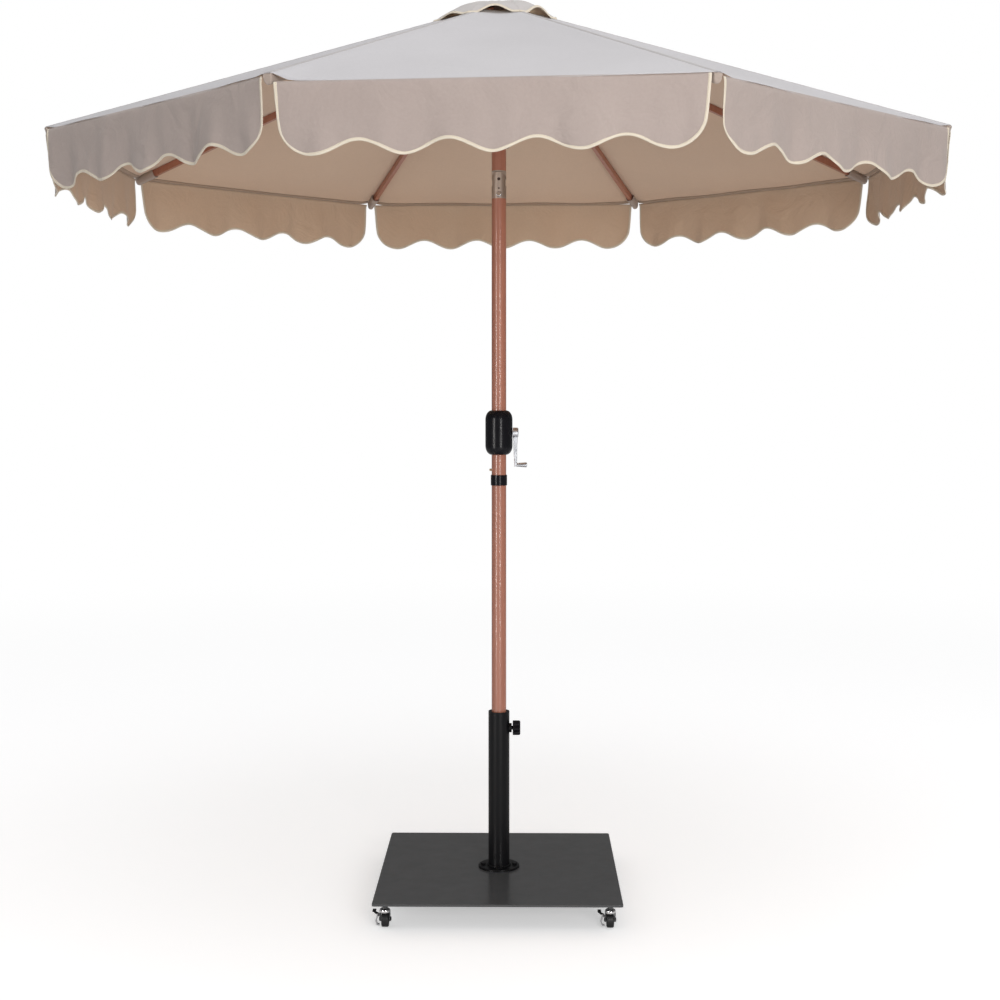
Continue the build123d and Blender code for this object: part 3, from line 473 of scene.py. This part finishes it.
def binding_material():
    """Ribbed cream tape with a row of darker stitches, 2.2 mm long and 3.2 mm apart."""
    made, tree, shader = start_material("cream_binding", 0.8)
    shader.inputs["Sheen Weight"].default_value = 0.2
    shader.inputs["Specular IOR Level"].default_value = 0.3
    nodes = tree.nodes
    links = tree.links
    place = nodes.new("ShaderNodeTexCoord")
    split = nodes.new("ShaderNodeSeparateXYZ")
    links.new(place.outputs["UV"], split.inputs["Vector"])
    dash = nodes.new("ShaderNodeMath")
    dash.operation = "MODULO"
    dash.inputs[1].default_value = 0.0032
    links.new(split.outputs["X"], dash.inputs[0])
    on = nodes.new("ShaderNodeMath")
    on.operation = "LESS_THAN"
    on.inputs[1].default_value = 0.0022
    links.new(dash.outputs["Value"], on.inputs[0])
    line = nodes.new("ShaderNodeMath")
    line.operation = "COMPARE"
    line.inputs[1].default_value = 0.0017
    line.inputs[2].default_value = 0.0004
    links.new(split.outputs["Y"], line.inputs[0])
    stitch = nodes.new("ShaderNodeMath")
    stitch.operation = "MULTIPLY"
    links.new(on.outputs["Value"], stitch.inputs[0])
    links.new(line.outputs["Value"], stitch.inputs[1])
    tint = nodes.new("ShaderNodeMix")
    tint.data_type = "RGBA"
    tint.inputs[6].default_value = (0.70, 0.625, 0.51, 1)
    tint.inputs[7].default_value = (0.55, 0.46, 0.33, 1)
    links.new(stitch.outputs["Value"], tint.inputs[0])
    rib = nodes.new("ShaderNodeTexWave")
    rib.inputs["Scale"].default_value = 380
    links.new(place.outputs["UV"], rib.inputs["Vector"])
    raised = nodes.new("ShaderNodeMath")
    raised.operation = "SUBTRACT"
    links.new(rib.outputs["Fac"], raised.inputs[0])
    links.new(stitch.outputs["Value"], raised.inputs[1])
    bump = nodes.new("ShaderNodeBump")
    bump.inputs["Strength"].default_value = 0.35
    bump.inputs["Distance"].default_value = 0.0004
    links.new(raised.outputs["Value"], bump.inputs["Height"])
    links.new(tint.outputs[2], shader.inputs["Base Color"])
    links.new(bump.outputs["Normal"], shader.inputs["Normal"])
    return made


cream_binding = binding_material()
tape_half_width = 0.0034
tape_half_thickness = 0.0013
tape_inset = 0.0026


def edge_tape(name, edge, face_out, inset):
    """A folded tape along an edge. edge gives its points, face_out the direction the cloth faces."""
    around = 10
    points = []
    flat = []
    travelled = 0.0
    last = len(edge) - 1
    for index, middle in enumerate(edge):
        before = edge[max(0, index - 1)]
        after = edge[min(last, index + 1)]
        if index:
            travelled += (middle - edge[index - 1]).length
        along = (after - before).normalized()
        normal = face_out[index]
        inward = normal.cross(along).normalized()
        normal = along.cross(inward).normalized()
        centre = middle + inward * inset
        for step in range(around):
            turn = 2 * pi * step / around
            squared = abs(cos(turn)) ** 0.7 * (1 if cos(turn) >= 0 else -1)
            points.append(
                centre
                + inward * tape_half_width * squared
                + normal * tape_half_thickness * sin(turn)
            )
            flat.append((travelled, tape_half_width * squared))
    faces = []
    for index in range(last):
        for step in range(around):
            first = index * around + step
            second = index * around + (step + 1) % around
            faces.append((first, second, second + around, first + around))
    faces.append(tuple(range(around - 1, -1, -1)))
    faces.append(tuple(last * around + step for step in range(around)))
    mesh = bpy.data.meshes.new(name)
    mesh.from_pydata([tuple(point) for point in points], [], faces)
    layer = mesh.uv_layers.new(name="cut")
    for loop in mesh.loops:
        layer.data[loop.index].uv = flat[loop.vertex_index]
    piece = bpy.data.objects.new(name, mesh)
    scene.collection.objects.link(piece)
    select_only(piece)
    bpy.ops.object.mode_set(mode="EDIT")
    bpy.ops.mesh.select_all(action="SELECT")
    bpy.ops.mesh.normals_make_consistent(inside=False)
    bpy.ops.object.mode_set(mode="OBJECT")
    mesh.shade_smooth()
    piece.data.materials.append(cream_binding)
    return piece


for number in range(1, gore_count + 1):
    outward = gore_axes(number)[0]
    edge = []
    for step in range(21):
        edge.append(valance_point(number, 0.02 + 0.98 * step / 20, -1))
    for step in range(1, 260):
        edge.append(valance_point(number, 1, -1 + 2 * step / 260))
    for step in range(21):
        edge.append(valance_point(number, 1 - 0.98 * step / 20, 1))
    middle_line = [point - outward * cloth_thickness / 2 for point in edge]
    binding = edge_tape(f"valance_binding_{number}", middle_line, [outward] * len(edge), tape_inset)
    hang_on(binding, number, f"valance_{number}")

# ======================================================================================
# Ridge seams. The gores are joined over each rib by a felled seam 16 mm wide, two cloths
# thicker than the cover, with a row of stitches along each side.
# ======================================================================================
seam_half_width = 0.008
seam_length = 1.05
seam_thickness = 0.0006
seam_start = vent_share + 0.005
seam_end = 0.998
ridge_slope = atan2(apex_height - rim_height, cover_radius)


def tint_where(made, within, colour):
    """Give a material another colour where a socket of its tree says 1."""
    tree = made.node_tree
    shader = tree.nodes["Principled BSDF"]
    tint = tree.nodes.new("ShaderNodeMix")
    tint.data_type = "RGBA"
    tint.inputs[7].default_value = (*colour, 1)
    tree.links.new(within, tint.inputs[0])
    tree.links.new(shader.inputs["Base Color"].links[0].from_socket, tint.inputs[6])
    tree.links.new(tint.outputs[2], shader.inputs["Base Color"])


def seam_material():
    """The cover's cloth with a row of darker stitches along each side."""
    made = cloth_material("seam_cloth", (0.46, 0.44, 0.445), (0.43, 0.41, 0.415), crease=0.1)
    tree = made.node_tree
    place = tree.nodes.new("ShaderNodeTexCoord")
    split = tree.nodes.new("ShaderNodeSeparateXYZ")
    tree.links.new(place.outputs["UV"], split.inputs["Vector"])
    off = tree.nodes.new("ShaderNodeMath")
    off.operation = "ABSOLUTE"
    tree.links.new(split.outputs["X"], off.inputs[0])
    line = tree.nodes.new("ShaderNodeMath")
    line.operation = "COMPARE"
    line.inputs[1].default_value = 0.0058
    line.inputs[2].default_value = 0.0006
    tree.links.new(off.outputs["Value"], line.inputs[0])
    dash = tree.nodes.new("ShaderNodeMath")
    dash.operation = "PINGPONG"
    dash.inputs[1].default_value = 0.002
    tree.links.new(split.outputs["Y"], dash.inputs[0])
    on = tree.nodes.new("ShaderNodeMath")
    on.operation = "GREATER_THAN"
    on.inputs[1].default_value = 0.0006
    tree.links.new(dash.outputs["Value"], on.inputs[0])
    stitch = tree.nodes.new("ShaderNodeMath")
    stitch.operation = "MULTIPLY"
    tree.links.new(line.outputs["Value"], stitch.inputs[0])
    tree.links.new(on.outputs["Value"], stitch.inputs[1])
    tint_where(made, stitch.outputs["Value"], (0.30, 0.27, 0.25))
    return made


seam_cloth = seam_material()
for number in range(1, gore_count + 1):
    rib_turn = (number - 0.5) * 2 * half_gore
    rib_out = Vector((cos(rib_turn), sin(rib_turn), 0))
    rib_side = Vector((-sin(rib_turn), cos(rib_turn), 0))

    def place(down, over):
        share = seam_start + down * (seam_end - seam_start)
        across = 2 * over - 1
        width = seam_half_width * across
        reach = share * cover_radius
        height = apex_height - reach * tan(ridge_slope)
        # each side of the seam lies on its own gore, and falls away from the ridge
        fall = abs(width) * sin(half_gore) * tan(gore_slope)
        proud = cloth_rise + 0.0011 * (1 - abs(across) ** 6) + 0.0002 * ripple(reach, number)
        return rib_out * reach + rib_side * width + Vector((0, 0, height - fall + proud))

    def measure(down, over):
        return (seam_half_width * (2 * over - 1), down * seam_length)

    seam = make_surface(f"ridge_seam_{number}", 90, 10, place, measure)
    seam.data.materials.append(seam_cloth)
    give_thickness(seam, seam_thickness, inside_slot=0)
    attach(seam, f"rib_{number}")

# ======================================================================================
# Rib pockets. A patch of doubled cloth is sewn under each corner of the cover as a pocket
# for the rib's end, which is what holds the cover out.
# ======================================================================================
pocket_cloth = cloth_material("pocket_cloth", (0.44, 0.36, 0.31), (0.40, 0.32, 0.275))
pocket_length = 0.062
pocket_girth = 0.05
pocket_cut = 0.07
pocket_thickness = 0.0012
for number in range(1, gore_count + 1):
    rib_turn = (number - 0.5) * 2 * half_gore
    rib_out = Vector((cos(rib_turn), sin(rib_turn), 0))
    rib_side = Vector((-sin(rib_turn), cos(rib_turn), 0))
    rib_down = Vector((0, 0, -1)) * cos(ridge_slope) - rib_out * sin(ridge_slope)

    def place(down, over):
        closing = max(0, down - 0.86) / 0.14
        reach = cover_radius - pocket_length + pocket_length * min(1, down / 0.9)
        height = apex_height - reach * tan(ridge_slope)
        turn = pi * over
        flare = (0.0082 + 0.004 * (1 - down) ** 2) * (1 - 0.25 * closing)
        depth = 0.0222 * sin(turn) ** 0.45 * (1 - closing * closing)
        edge = abs(cos(turn)) * flare * sin(half_gore) * tan(gore_slope)
        side = rib_side * cos(turn) * flare
        return rib_out * reach + side + Vector((0, 0, height - edge)) + rib_down * depth

    def measure(down, over):
        return (over * pocket_girth, down * pocket_cut)

    pocket = make_surface(f"rib_pocket_{number}", 30, 24, place, measure)
    pocket.data.materials.append(pocket_cloth)
    give_thickness(pocket, pocket_thickness, inside_slot=0, offset=0)
    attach(pocket, f"rib_{number}")

# ======================================================================================
# Vent cap. A small second cover stands over the vent hole. It is sewn down at the eight
# ridges, and between them its bound edge arches up to let the wind through.
# ======================================================================================
cap_radius = 0.172
cap_top = 2.3225
cap_shift = -0.009
cap_foot = apex_height - cap_radius * tan(ridge_slope) + 0.0022
cap_reach = cap_radius * cos(half_gore)
cap_half = cap_radius * sin(half_gore)
# the arches are uneven, as the cap was sewn on by hand, and the cap bulges over some of them
arch_rises = {1: 0.017, 2: 0.014, 3: 0.018, 4: 0.015, 5: 0.010, 6: 0.017, 7: 0.021, 8: 0.016}
cap_bulges = {1: 0.003, 2: 0.001, 3: 0.002, 4: 0.006, 5: 0.006, 6: 0.001, 7: 0.009, 8: 0.007}


def cap_edge_rise(number, across):
    """The edge rests on the cover near the ridges and arches up between them."""
    if abs(across) > 0.7:
        return 0.0
    return arch_rises[number] * cos(pi * across / 1.4) ** 1.4


def cap_point(number, share, across):
    """Point of the vent cap: share from its middle (0) to its edge (1), across from -1 to 1."""
    outward, sideways = gore_axes(number)
    out = share * cap_reach
    side = across * share * cap_half
    height = cap_foot + (cap_top - cap_foot) * (1 - share ** 2.3)
    height += cap_edge_rise(number, across) * share ** 7
    height += cap_bulges[number] * (1 - across * across) * sin(pi * share ** 2)
    height += 0.0012 * sin(9 * across + 2 * number) * sin(pi * share) * share
    place = outward * out + sideways * side
    # moved a little to one side, and still resting on the cover's slope
    away = place.x / max(0.02, hypot(place.x, place.y))
    height -= tan(ridge_slope) * cap_shift * away * share
    return place + Vector((cap_shift * share ** 0.5, 0, height))


cap_outside = cloth_material("cap_outside", (0.53, 0.50, 0.49), (0.48, 0.45, 0.44), crease=0.7)
# the cap's inside is painted far lighter than its outside, though they are one cloth: painted light
# shining through it into the shade under the cap
cap_inside_painted_light = cloth_material("cap_inside_painted_light", (0.80, 0.62, 0.42), (0.74, 0.56, 0.37), crease=0.3)
flap_start = 0.20
flap_slant = 0.182
flap_tape_inset = 0.0022
for number in range(1, gore_count + 1):

    def place(down, over):
        return cap_point(number, flap_start + (1 - flap_start) * down, 2 * over - 1)

    def measure(down, over):
        share = flap_start + (1 - flap_start) * down
        return ((2 * over - 1) * share * cap_half, -share * flap_slant)

    flap = make_surface(f"vent_flap_{number}", 26, 30, place, measure)
    flap.data.materials.append(cap_outside)
    flap.data.materials.append(cap_inside_painted_light)
    give_thickness(flap, cloth_thickness)
    hang_on(flap, number, f"canopy_panel_{number}")
    outward = gore_axes(number)[0]
    edge = [cap_point(number, 1, -1 + 2 * step / 60) for step in range(61)]
    facing = [(outward + Vector((0, 0, 0.6))).normalized()] * len(edge)
    binding = edge_tape(f"vent_binding_{number}", edge, facing, flap_tape_inset)
    hang_on(binding, number, f"canopy_panel_{number}")

# the round patch that covers the flaps' ends, in the middle of the cap
patch_share = 0.235
patch_radius = 0.05


def place(down, over):
    share = patch_share * max(down, 0.001)
    number = int((over * gore_count + 0.5) % gore_count) or gore_count
    across = (over * gore_count + 0.5) % 1 * 2 - 1
    point = cap_point(number, share, across)
    return Vector((point.x, point.y, point.z + 0.0013 - 0.0006 * down))


def measure(down, over):
    turn = 2 * pi * over
    return (down * patch_radius * cos(turn), down * patch_radius * sin(turn))


crown_patch = make_surface("vent_crown", 8, 64, place, measure)
crown_patch.data.materials.append(cap_outside)
crown_patch.data.materials.append(cap_inside_painted_light)
select_only(crown_patch)
bpy.ops.object.mode_set(mode="EDIT")
bpy.ops.mesh.select_all(action="SELECT")
bpy.ops.mesh.remove_doubles(threshold=0.0004)
bpy.ops.mesh.normals_make_consistent(inside=False)
bpy.ops.object.mode_set(mode="OBJECT")
give_thickness(crown_patch, cloth_thickness)
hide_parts("vent_cap")
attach(crown_patch, "canopy_head")

# ======================================================================================
# Ribs and struts. Rectangular steel tubes with riveted brackets and pins, all in one
# copper-brown powder coat. Each rib ends in a grey nylon cap, inside the cover's pocket.
# ======================================================================================


def powder_coat(name, colour, darker, streak=1.0, roughness=0.42, grain=900, gloss=0.5):
    """Satin powder coat: fine orange peel, faint long streaks, and an uneven gloss."""
    made, tree, shader = start_material(name, roughness)
    shader.inputs["Specular IOR Level"].default_value = gloss
    shader.inputs["Coat Weight"].default_value = gloss * gloss * 2
    shader.inputs["Coat Roughness"].default_value = 0.16
    nodes = tree.nodes
    links = tree.links
    place = nodes.new("ShaderNodeTexCoord")
    stretch = nodes.new("ShaderNodeMapping")
    stretch.inputs["Scale"].default_value = (140, 140, 3.5)
    links.new(place.outputs["Object"], stretch.inputs["Vector"])
    streaks = nodes.new("ShaderNodeTexNoise")
    streaks.inputs["Scale"].default_value = 1
    streaks.inputs["Detail"].default_value = 5
    links.new(stretch.outputs["Vector"], streaks.inputs["Vector"])
    spread = nodes.new("ShaderNodeMapRange")
    spread.inputs["From Min"].default_value = 0.5 - 0.25 / streak
    spread.inputs["From Max"].default_value = 0.5 + 0.25 / streak
    links.new(streaks.outputs["Fac"], spread.inputs["Value"])
    tone = nodes.new("ShaderNodeMix")
    tone.data_type = "RGBA"
    tone.inputs[6].default_value = (*colour, 1)
    tone.inputs[7].default_value = (*darker, 1)
    links.new(spread.outputs["Result"], tone.inputs[0])
    links.new(tone.outputs[2], shader.inputs["Base Color"])
    dull = nodes.new("ShaderNodeTexNoise")
    dull.inputs["Scale"].default_value = 24
    dull.inputs["Detail"].default_value = 3
    links.new(place.outputs["Object"], dull.inputs["Vector"])
    sheen = nodes.new("ShaderNodeMapRange")
    sheen.inputs["To Min"].default_value = roughness - 0.07
    sheen.inputs["To Max"].default_value = roughness + 0.09
    links.new(dull.outputs["Fac"], sheen.inputs["Value"])
    links.new(sheen.outputs["Result"], shader.inputs["Roughness"])
    peel = nodes.new("ShaderNodeTexNoise")
    peel.inputs["Scale"].default_value = grain
    peel.inputs["Detail"].default_value = 2
    links.new(place.outputs["Object"], peel.inputs["Vector"])
    bump = nodes.new("ShaderNodeBump")
    bump.inputs["Strength"].default_value = 0.2
    bump.inputs["Distance"].default_value = 0.0002
    links.new(peel.outputs["Fac"], bump.inputs["Height"])
    links.new(bump.outputs["Normal"], shader.inputs["Normal"])
    return made


def paint(node, *materials):
    """Give a carried-over part its finish."""
    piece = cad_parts[node]
    piece.data.materials.clear()
    for material in materials:
        piece.data.materials.append(material)


copper_coat = powder_coat("copper_brown_coat", (0.44, 0.174, 0.111), (0.345, 0.126, 0.077))
rib_coat = powder_coat("rib_coat", (0.42, 0.17, 0.105), (0.33, 0.12, 0.072))


def add_rib_cap(made, from_reach):
    """Beyond the end of the tube the rib is its grey nylon cap."""
    tree = made.node_tree
    place = tree.nodes.new("ShaderNodeTexCoord")
    level = tree.nodes.new("ShaderNodeVectorMath")
    level.operation = "MULTIPLY"
    level.inputs[1].default_value = (1, 1, 0)
    tree.links.new(place.outputs["Object"], level.inputs[0])
    reach = tree.nodes.new("ShaderNodeVectorMath")
    reach.operation = "LENGTH"
    tree.links.new(level.outputs["Vector"], reach.inputs[0])
    beyond = tree.nodes.new("ShaderNodeMath")
    beyond.operation = "GREATER_THAN"
    beyond.inputs[1].default_value = from_reach
    tree.links.new(reach.outputs["Value"], beyond.inputs[0])
    tint_where(made, beyond.outputs["Value"], (0.13, 0.13, 0.135))


rib_tube_end = 1.1295
add_rib_cap(rib_coat, rib_tube_end)
for number in range(1, gore_count + 1):
    paint(f"rib_{number}", rib_coat)
    paint(f"strut_{number}", copper_coat)

# ======================================================================================
# Pole. Three lengths of 38 mm steel tube in the same copper-brown coat. The lower one stands
# in the base and plugs into the main one, and the tilt joint carries the upper one.
# ======================================================================================
for node in ("upper_pole", "main_pole", "lower_pole"):
    paint(node, copper_coat)

# ======================================================================================
# Top hub and runner. Both are moulded in dark brown glass-filled nylon, with a fine mould
# grain. The hub caps the pole, and the runner slides on it and spreads the struts.
# ======================================================================================


def moulded_plastic(name, colour, roughness, grain=420, depth=0.2, specular=0.45):
    """Moulded plastic: fine spark-eroded grain and slightly uneven gloss."""
    made, tree, shader = start_material(name, roughness)
    shader.inputs["Specular IOR Level"].default_value = specular
    nodes = tree.nodes
    links = tree.links
    place = nodes.new("ShaderNodeTexCoord")
    pits = nodes.new("ShaderNodeTexNoise")
    pits.inputs["Scale"].default_value = grain
    pits.inputs["Detail"].default_value = 3
    links.new(place.outputs["Object"], pits.inputs["Vector"])
    bump = nodes.new("ShaderNodeBump")
    bump.inputs["Strength"].default_value = depth
    bump.inputs["Distance"].default_value = 0.0003
    links.new(pits.outputs["Fac"], bump.inputs["Height"])
    links.new(bump.outputs["Normal"], shader.inputs["Normal"])
    cloud = nodes.new("ShaderNodeTexNoise")
    cloud.inputs["Scale"].default_value = 30
    cloud.inputs["Detail"].default_value = 3
    links.new(place.outputs["Object"], cloud.inputs["Vector"])
    gloss = nodes.new("ShaderNodeMapRange")
    gloss.inputs["To Min"].default_value = max(0.05, roughness - 0.08)
    gloss.inputs["To Max"].default_value = roughness + 0.1
    links.new(cloud.outputs["Fac"], gloss.inputs["Value"])
    links.new(gloss.outputs["Result"], shader.inputs["Roughness"])
    tone = nodes.new("ShaderNodeMix")
    tone.data_type = "RGBA"
    tone.inputs[6].default_value = (*colour, 1)
    tone.inputs[7].default_value = (*[1.25 * value for value in colour], 1)
    links.new(cloud.outputs["Fac"], tone.inputs[0])
    links.new(tone.outputs[2], shader.inputs["Base Color"])
    return made


hub_nylon = moulded_plastic("hub_nylon", (0.055, 0.035, 0.028), 0.45)
paint("top_hub", hub_nylon)
paint("runner", hub_nylon)

# ======================================================================================
# Tilt joint. Two die castings, satin grey-brown, with a steel pin and rivet, and a bright
# push button.
# ======================================================================================


def bare_metal(name, colour, roughness, brushed=0.0, smudge=0.12):
    """Bare or plated metal, with faint handling marks and, if asked, fine brushing."""
    made, tree, shader = start_material(name, roughness, metallic=1.0)
    nodes = tree.nodes
    links = tree.links
    place = nodes.new("ShaderNodeTexCoord")
    marks = nodes.new("ShaderNodeTexNoise")
    marks.inputs["Scale"].default_value = 60
    marks.inputs["Detail"].default_value = 5
    links.new(place.outputs["Object"], marks.inputs["Vector"])
    gloss = nodes.new("ShaderNodeMapRange")
    gloss.inputs["From Min"].default_value = 0.3
    gloss.inputs["From Max"].default_value = 0.7
    gloss.inputs["To Min"].default_value = roughness
    gloss.inputs["To Max"].default_value = roughness + smudge
    links.new(marks.outputs["Fac"], gloss.inputs["Value"])
    links.new(gloss.outputs["Result"], shader.inputs["Roughness"])
    tone = nodes.new("ShaderNodeMix")
    tone.data_type = "RGBA"
    tone.inputs[6].default_value = (*colour, 1)
    tone.inputs[7].default_value = (*[0.82 * value for value in colour], 1)
    links.new(marks.outputs["Fac"], tone.inputs[0])
    links.new(tone.outputs[2], shader.inputs["Base Color"])
    if brushed:
        stretch = nodes.new("ShaderNodeMapping")
        stretch.inputs["Scale"].default_value = (1400, 1400, 60)
        links.new(place.outputs["Object"], stretch.inputs["Vector"])
        lines = nodes.new("ShaderNodeTexNoise")
        lines.inputs["Scale"].default_value = 1
        links.new(stretch.outputs["Vector"], lines.inputs["Vector"])
        bump = nodes.new("ShaderNodeBump")
        bump.inputs["Strength"].default_value = brushed
        bump.inputs["Distance"].default_value = 0.0001
        links.new(lines.outputs["Fac"], bump.inputs["Height"])
        links.new(bump.outputs["Normal"], shader.inputs["Normal"])
    return made


casting_metal = bare_metal("grey_casting", (0.46, 0.385, 0.33), 0.42, brushed=0.3)
plated_steel = bare_metal("bright_plating", (0.80, 0.80, 0.81), 0.12)


def dark_pins(made, places):
    """Darker discs at the pin and rivet heads of a casting, each given as height and radius on the Y axis
    line.
    """
    tree = made.node_tree
    place = tree.nodes.new("ShaderNodeTexCoord")
    for height, radius in places:
        from_pin = tree.nodes.new("ShaderNodeVectorMath")
        from_pin.operation = "SUBTRACT"
        from_pin.inputs[1].default_value = (0, 0, height)
        tree.links.new(place.outputs["Object"], from_pin.inputs[0])
        level = tree.nodes.new("ShaderNodeVectorMath")
        level.operation = "MULTIPLY"
        level.inputs[1].default_value = (1, 0, 1)
        tree.links.new(from_pin.outputs["Vector"], level.inputs[0])
        reach = tree.nodes.new("ShaderNodeVectorMath")
        reach.operation = "LENGTH"
        tree.links.new(level.outputs["Vector"], reach.inputs[0])
        within = tree.nodes.new("ShaderNodeMath")
        within.operation = "LESS_THAN"
        within.inputs[1].default_value = radius
        tree.links.new(reach.outputs["Value"], within.inputs[0])
        tint_where(made, within.outputs["Value"], (0.07, 0.05, 0.045))


socket_metal = bare_metal("socket_casting", (0.46, 0.385, 0.33), 0.42, brushed=0.3)
tilt_pin = (1.863, 0.0041)
tilt_rivet = (1.839, 0.0026)
dark_pins(socket_metal, (tilt_pin, tilt_rivet))
paint("tilt_head", casting_metal)
paint("tilt_socket", socket_metal)
paint("tilt_button", plated_steel)

# ======================================================================================
# Crank housing and collar. Two half shells in satin black nylon meet at the sides and are
# screwed from the back. The collar is moulded in the same black.
# ======================================================================================
black_nylon = moulded_plastic("black_nylon", (0.006, 0.006, 0.008), 0.22, specular=0.18)
for node in ("crank_housing_front", "crank_housing_back", "pole_collar", "clamp_knob"):
    paint(node, black_nylon)

# ======================================================================================
# Crank handle. One plated zinc casting: hub, tapering arm and a conical grip. Its shaft
# runs through the housing, and turns the pale nylon drum that winds the lift cord.
# ======================================================================================
handle_metal = bare_metal("handle_plating", (0.80, 0.82, 0.86), 0.26)
paint("crank_handle", handle_metal)
drum_nylon = moulded_plastic("drum_nylon", (0.62, 0.62, 0.60), 0.5)
paint("winding_drum", drum_nylon)

# ======================================================================================
# Snap button. Turned brass with a domed end. A spring inside the pole pushes it out through
# holes in both tubes, which locks them together.
# ======================================================================================
button_brass = bare_metal("button_brass", (0.72, 0.52, 0.34), 0.28)
paint("snap_button", button_brass)

# ======================================================================================
# Base. Square steel plate 6 mm thick, and a tube welded to a round flange bolted down on
# it, all in satin black powder coat. The plate is a little duller, and its coat is painted lighter as
# painted light on its top.
# ======================================================================================
black_coat = powder_coat("black_coat", (0.006, 0.006, 0.007), (0.004, 0.004, 0.005), 0.5, 0.36, 700, 0.16)
# the plate's coat is the stem's black, painted lighter as painted light on the plate's top
plate_coat_painted_light = powder_coat("plate_coat_painted_light", (0.066, 0.068, 0.071), (0.054, 0.056, 0.058), 0.5, 0.33, 700)
paint("base_plate", plate_coat_painted_light)
paint("base_stem", black_coat)
stem_radius = 0.0275
flange_top = 0.073
bead_radius = 0.0028
bead_crests = 46
# the uneven bead of weld where the tube stands on its flange, coated over with the rest
bpy.ops.object.select_all(action="DESELECT")
bpy.ops.mesh.primitive_torus_add(
    major_segments=160,
    minor_segments=12,
    major_radius=stem_radius + 0.0012,
    minor_radius=bead_radius,
    location=(0, 0, flange_top + 0.0006),
)
weld = bpy.context.object
weld.name = "stem_weld"
bpy.ops.object.transform_apply(location=True)
for corner in weld.data.vertices:
    turn = atan2(corner.co.y, corner.co.x)
    swell = 1 + 0.035 * sin(bead_crests * turn) + 0.02 * sin(11 * turn + 1)
    corner.co.z = flange_top + (corner.co.z - flange_top) * swell
    corner.co.x *= 1 + 0.008 * sin(bead_crests * turn)
    corner.co.y *= 1 + 0.008 * sin(bead_crests * turn)
bpy.ops.object.shade_smooth()
weld.data.materials.append(black_coat)
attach(weld, "base")

# ======================================================================================
# Casters. Plated steel forks with hard black wheels, one on a stud at each corner of the
# plate. The front pair has plated foot brakes with black pedals.
# ======================================================================================
wheel_nylon = moulded_plastic("wheel_nylon", (0.010, 0.010, 0.011), 0.42)


def two_height_metal(name, below, above, height):
    """Plated metal whose tone changes at a height: a real change where a pad begins, and a painted dark
    reflection below a fork's head.
    """
    made = bare_metal(name, below, 0.16)
    tree = made.node_tree
    place = tree.nodes.new("ShaderNodeTexCoord")
    split = tree.nodes.new("ShaderNodeSeparateXYZ")
    tree.links.new(place.outputs["Object"], split.inputs["Vector"])
    over = tree.nodes.new("ShaderNodeMath")
    over.operation = "GREATER_THAN"
    over.inputs[1].default_value = height
    tree.links.new(split.outputs["Z"], over.inputs[0])
    tint_where(made, over.outputs["Value"], above)
    return made


head_height = 0.0405
pedal_height = 0.033
# below the head the fork is painted dark metal, a painted reflection: the real fork is bright plating
fork_plating_painted_reflection = two_height_metal("fork_plating_painted_reflection", (0.16, 0.16, 0.165), (0.78, 0.78, 0.79), head_height)
brake_plating = two_height_metal("brake_plating", (0.70, 0.70, 0.72), (0.015, 0.015, 0.016), pedal_height)
for number in range(1, 5):
    paint(f"caster_fork_{number}", fork_plating_painted_reflection)
    paint(f"caster_wheel_{number}", wheel_nylon)
for number in (1, 3):
    paint(f"brake_lever_{number}", brake_plating)
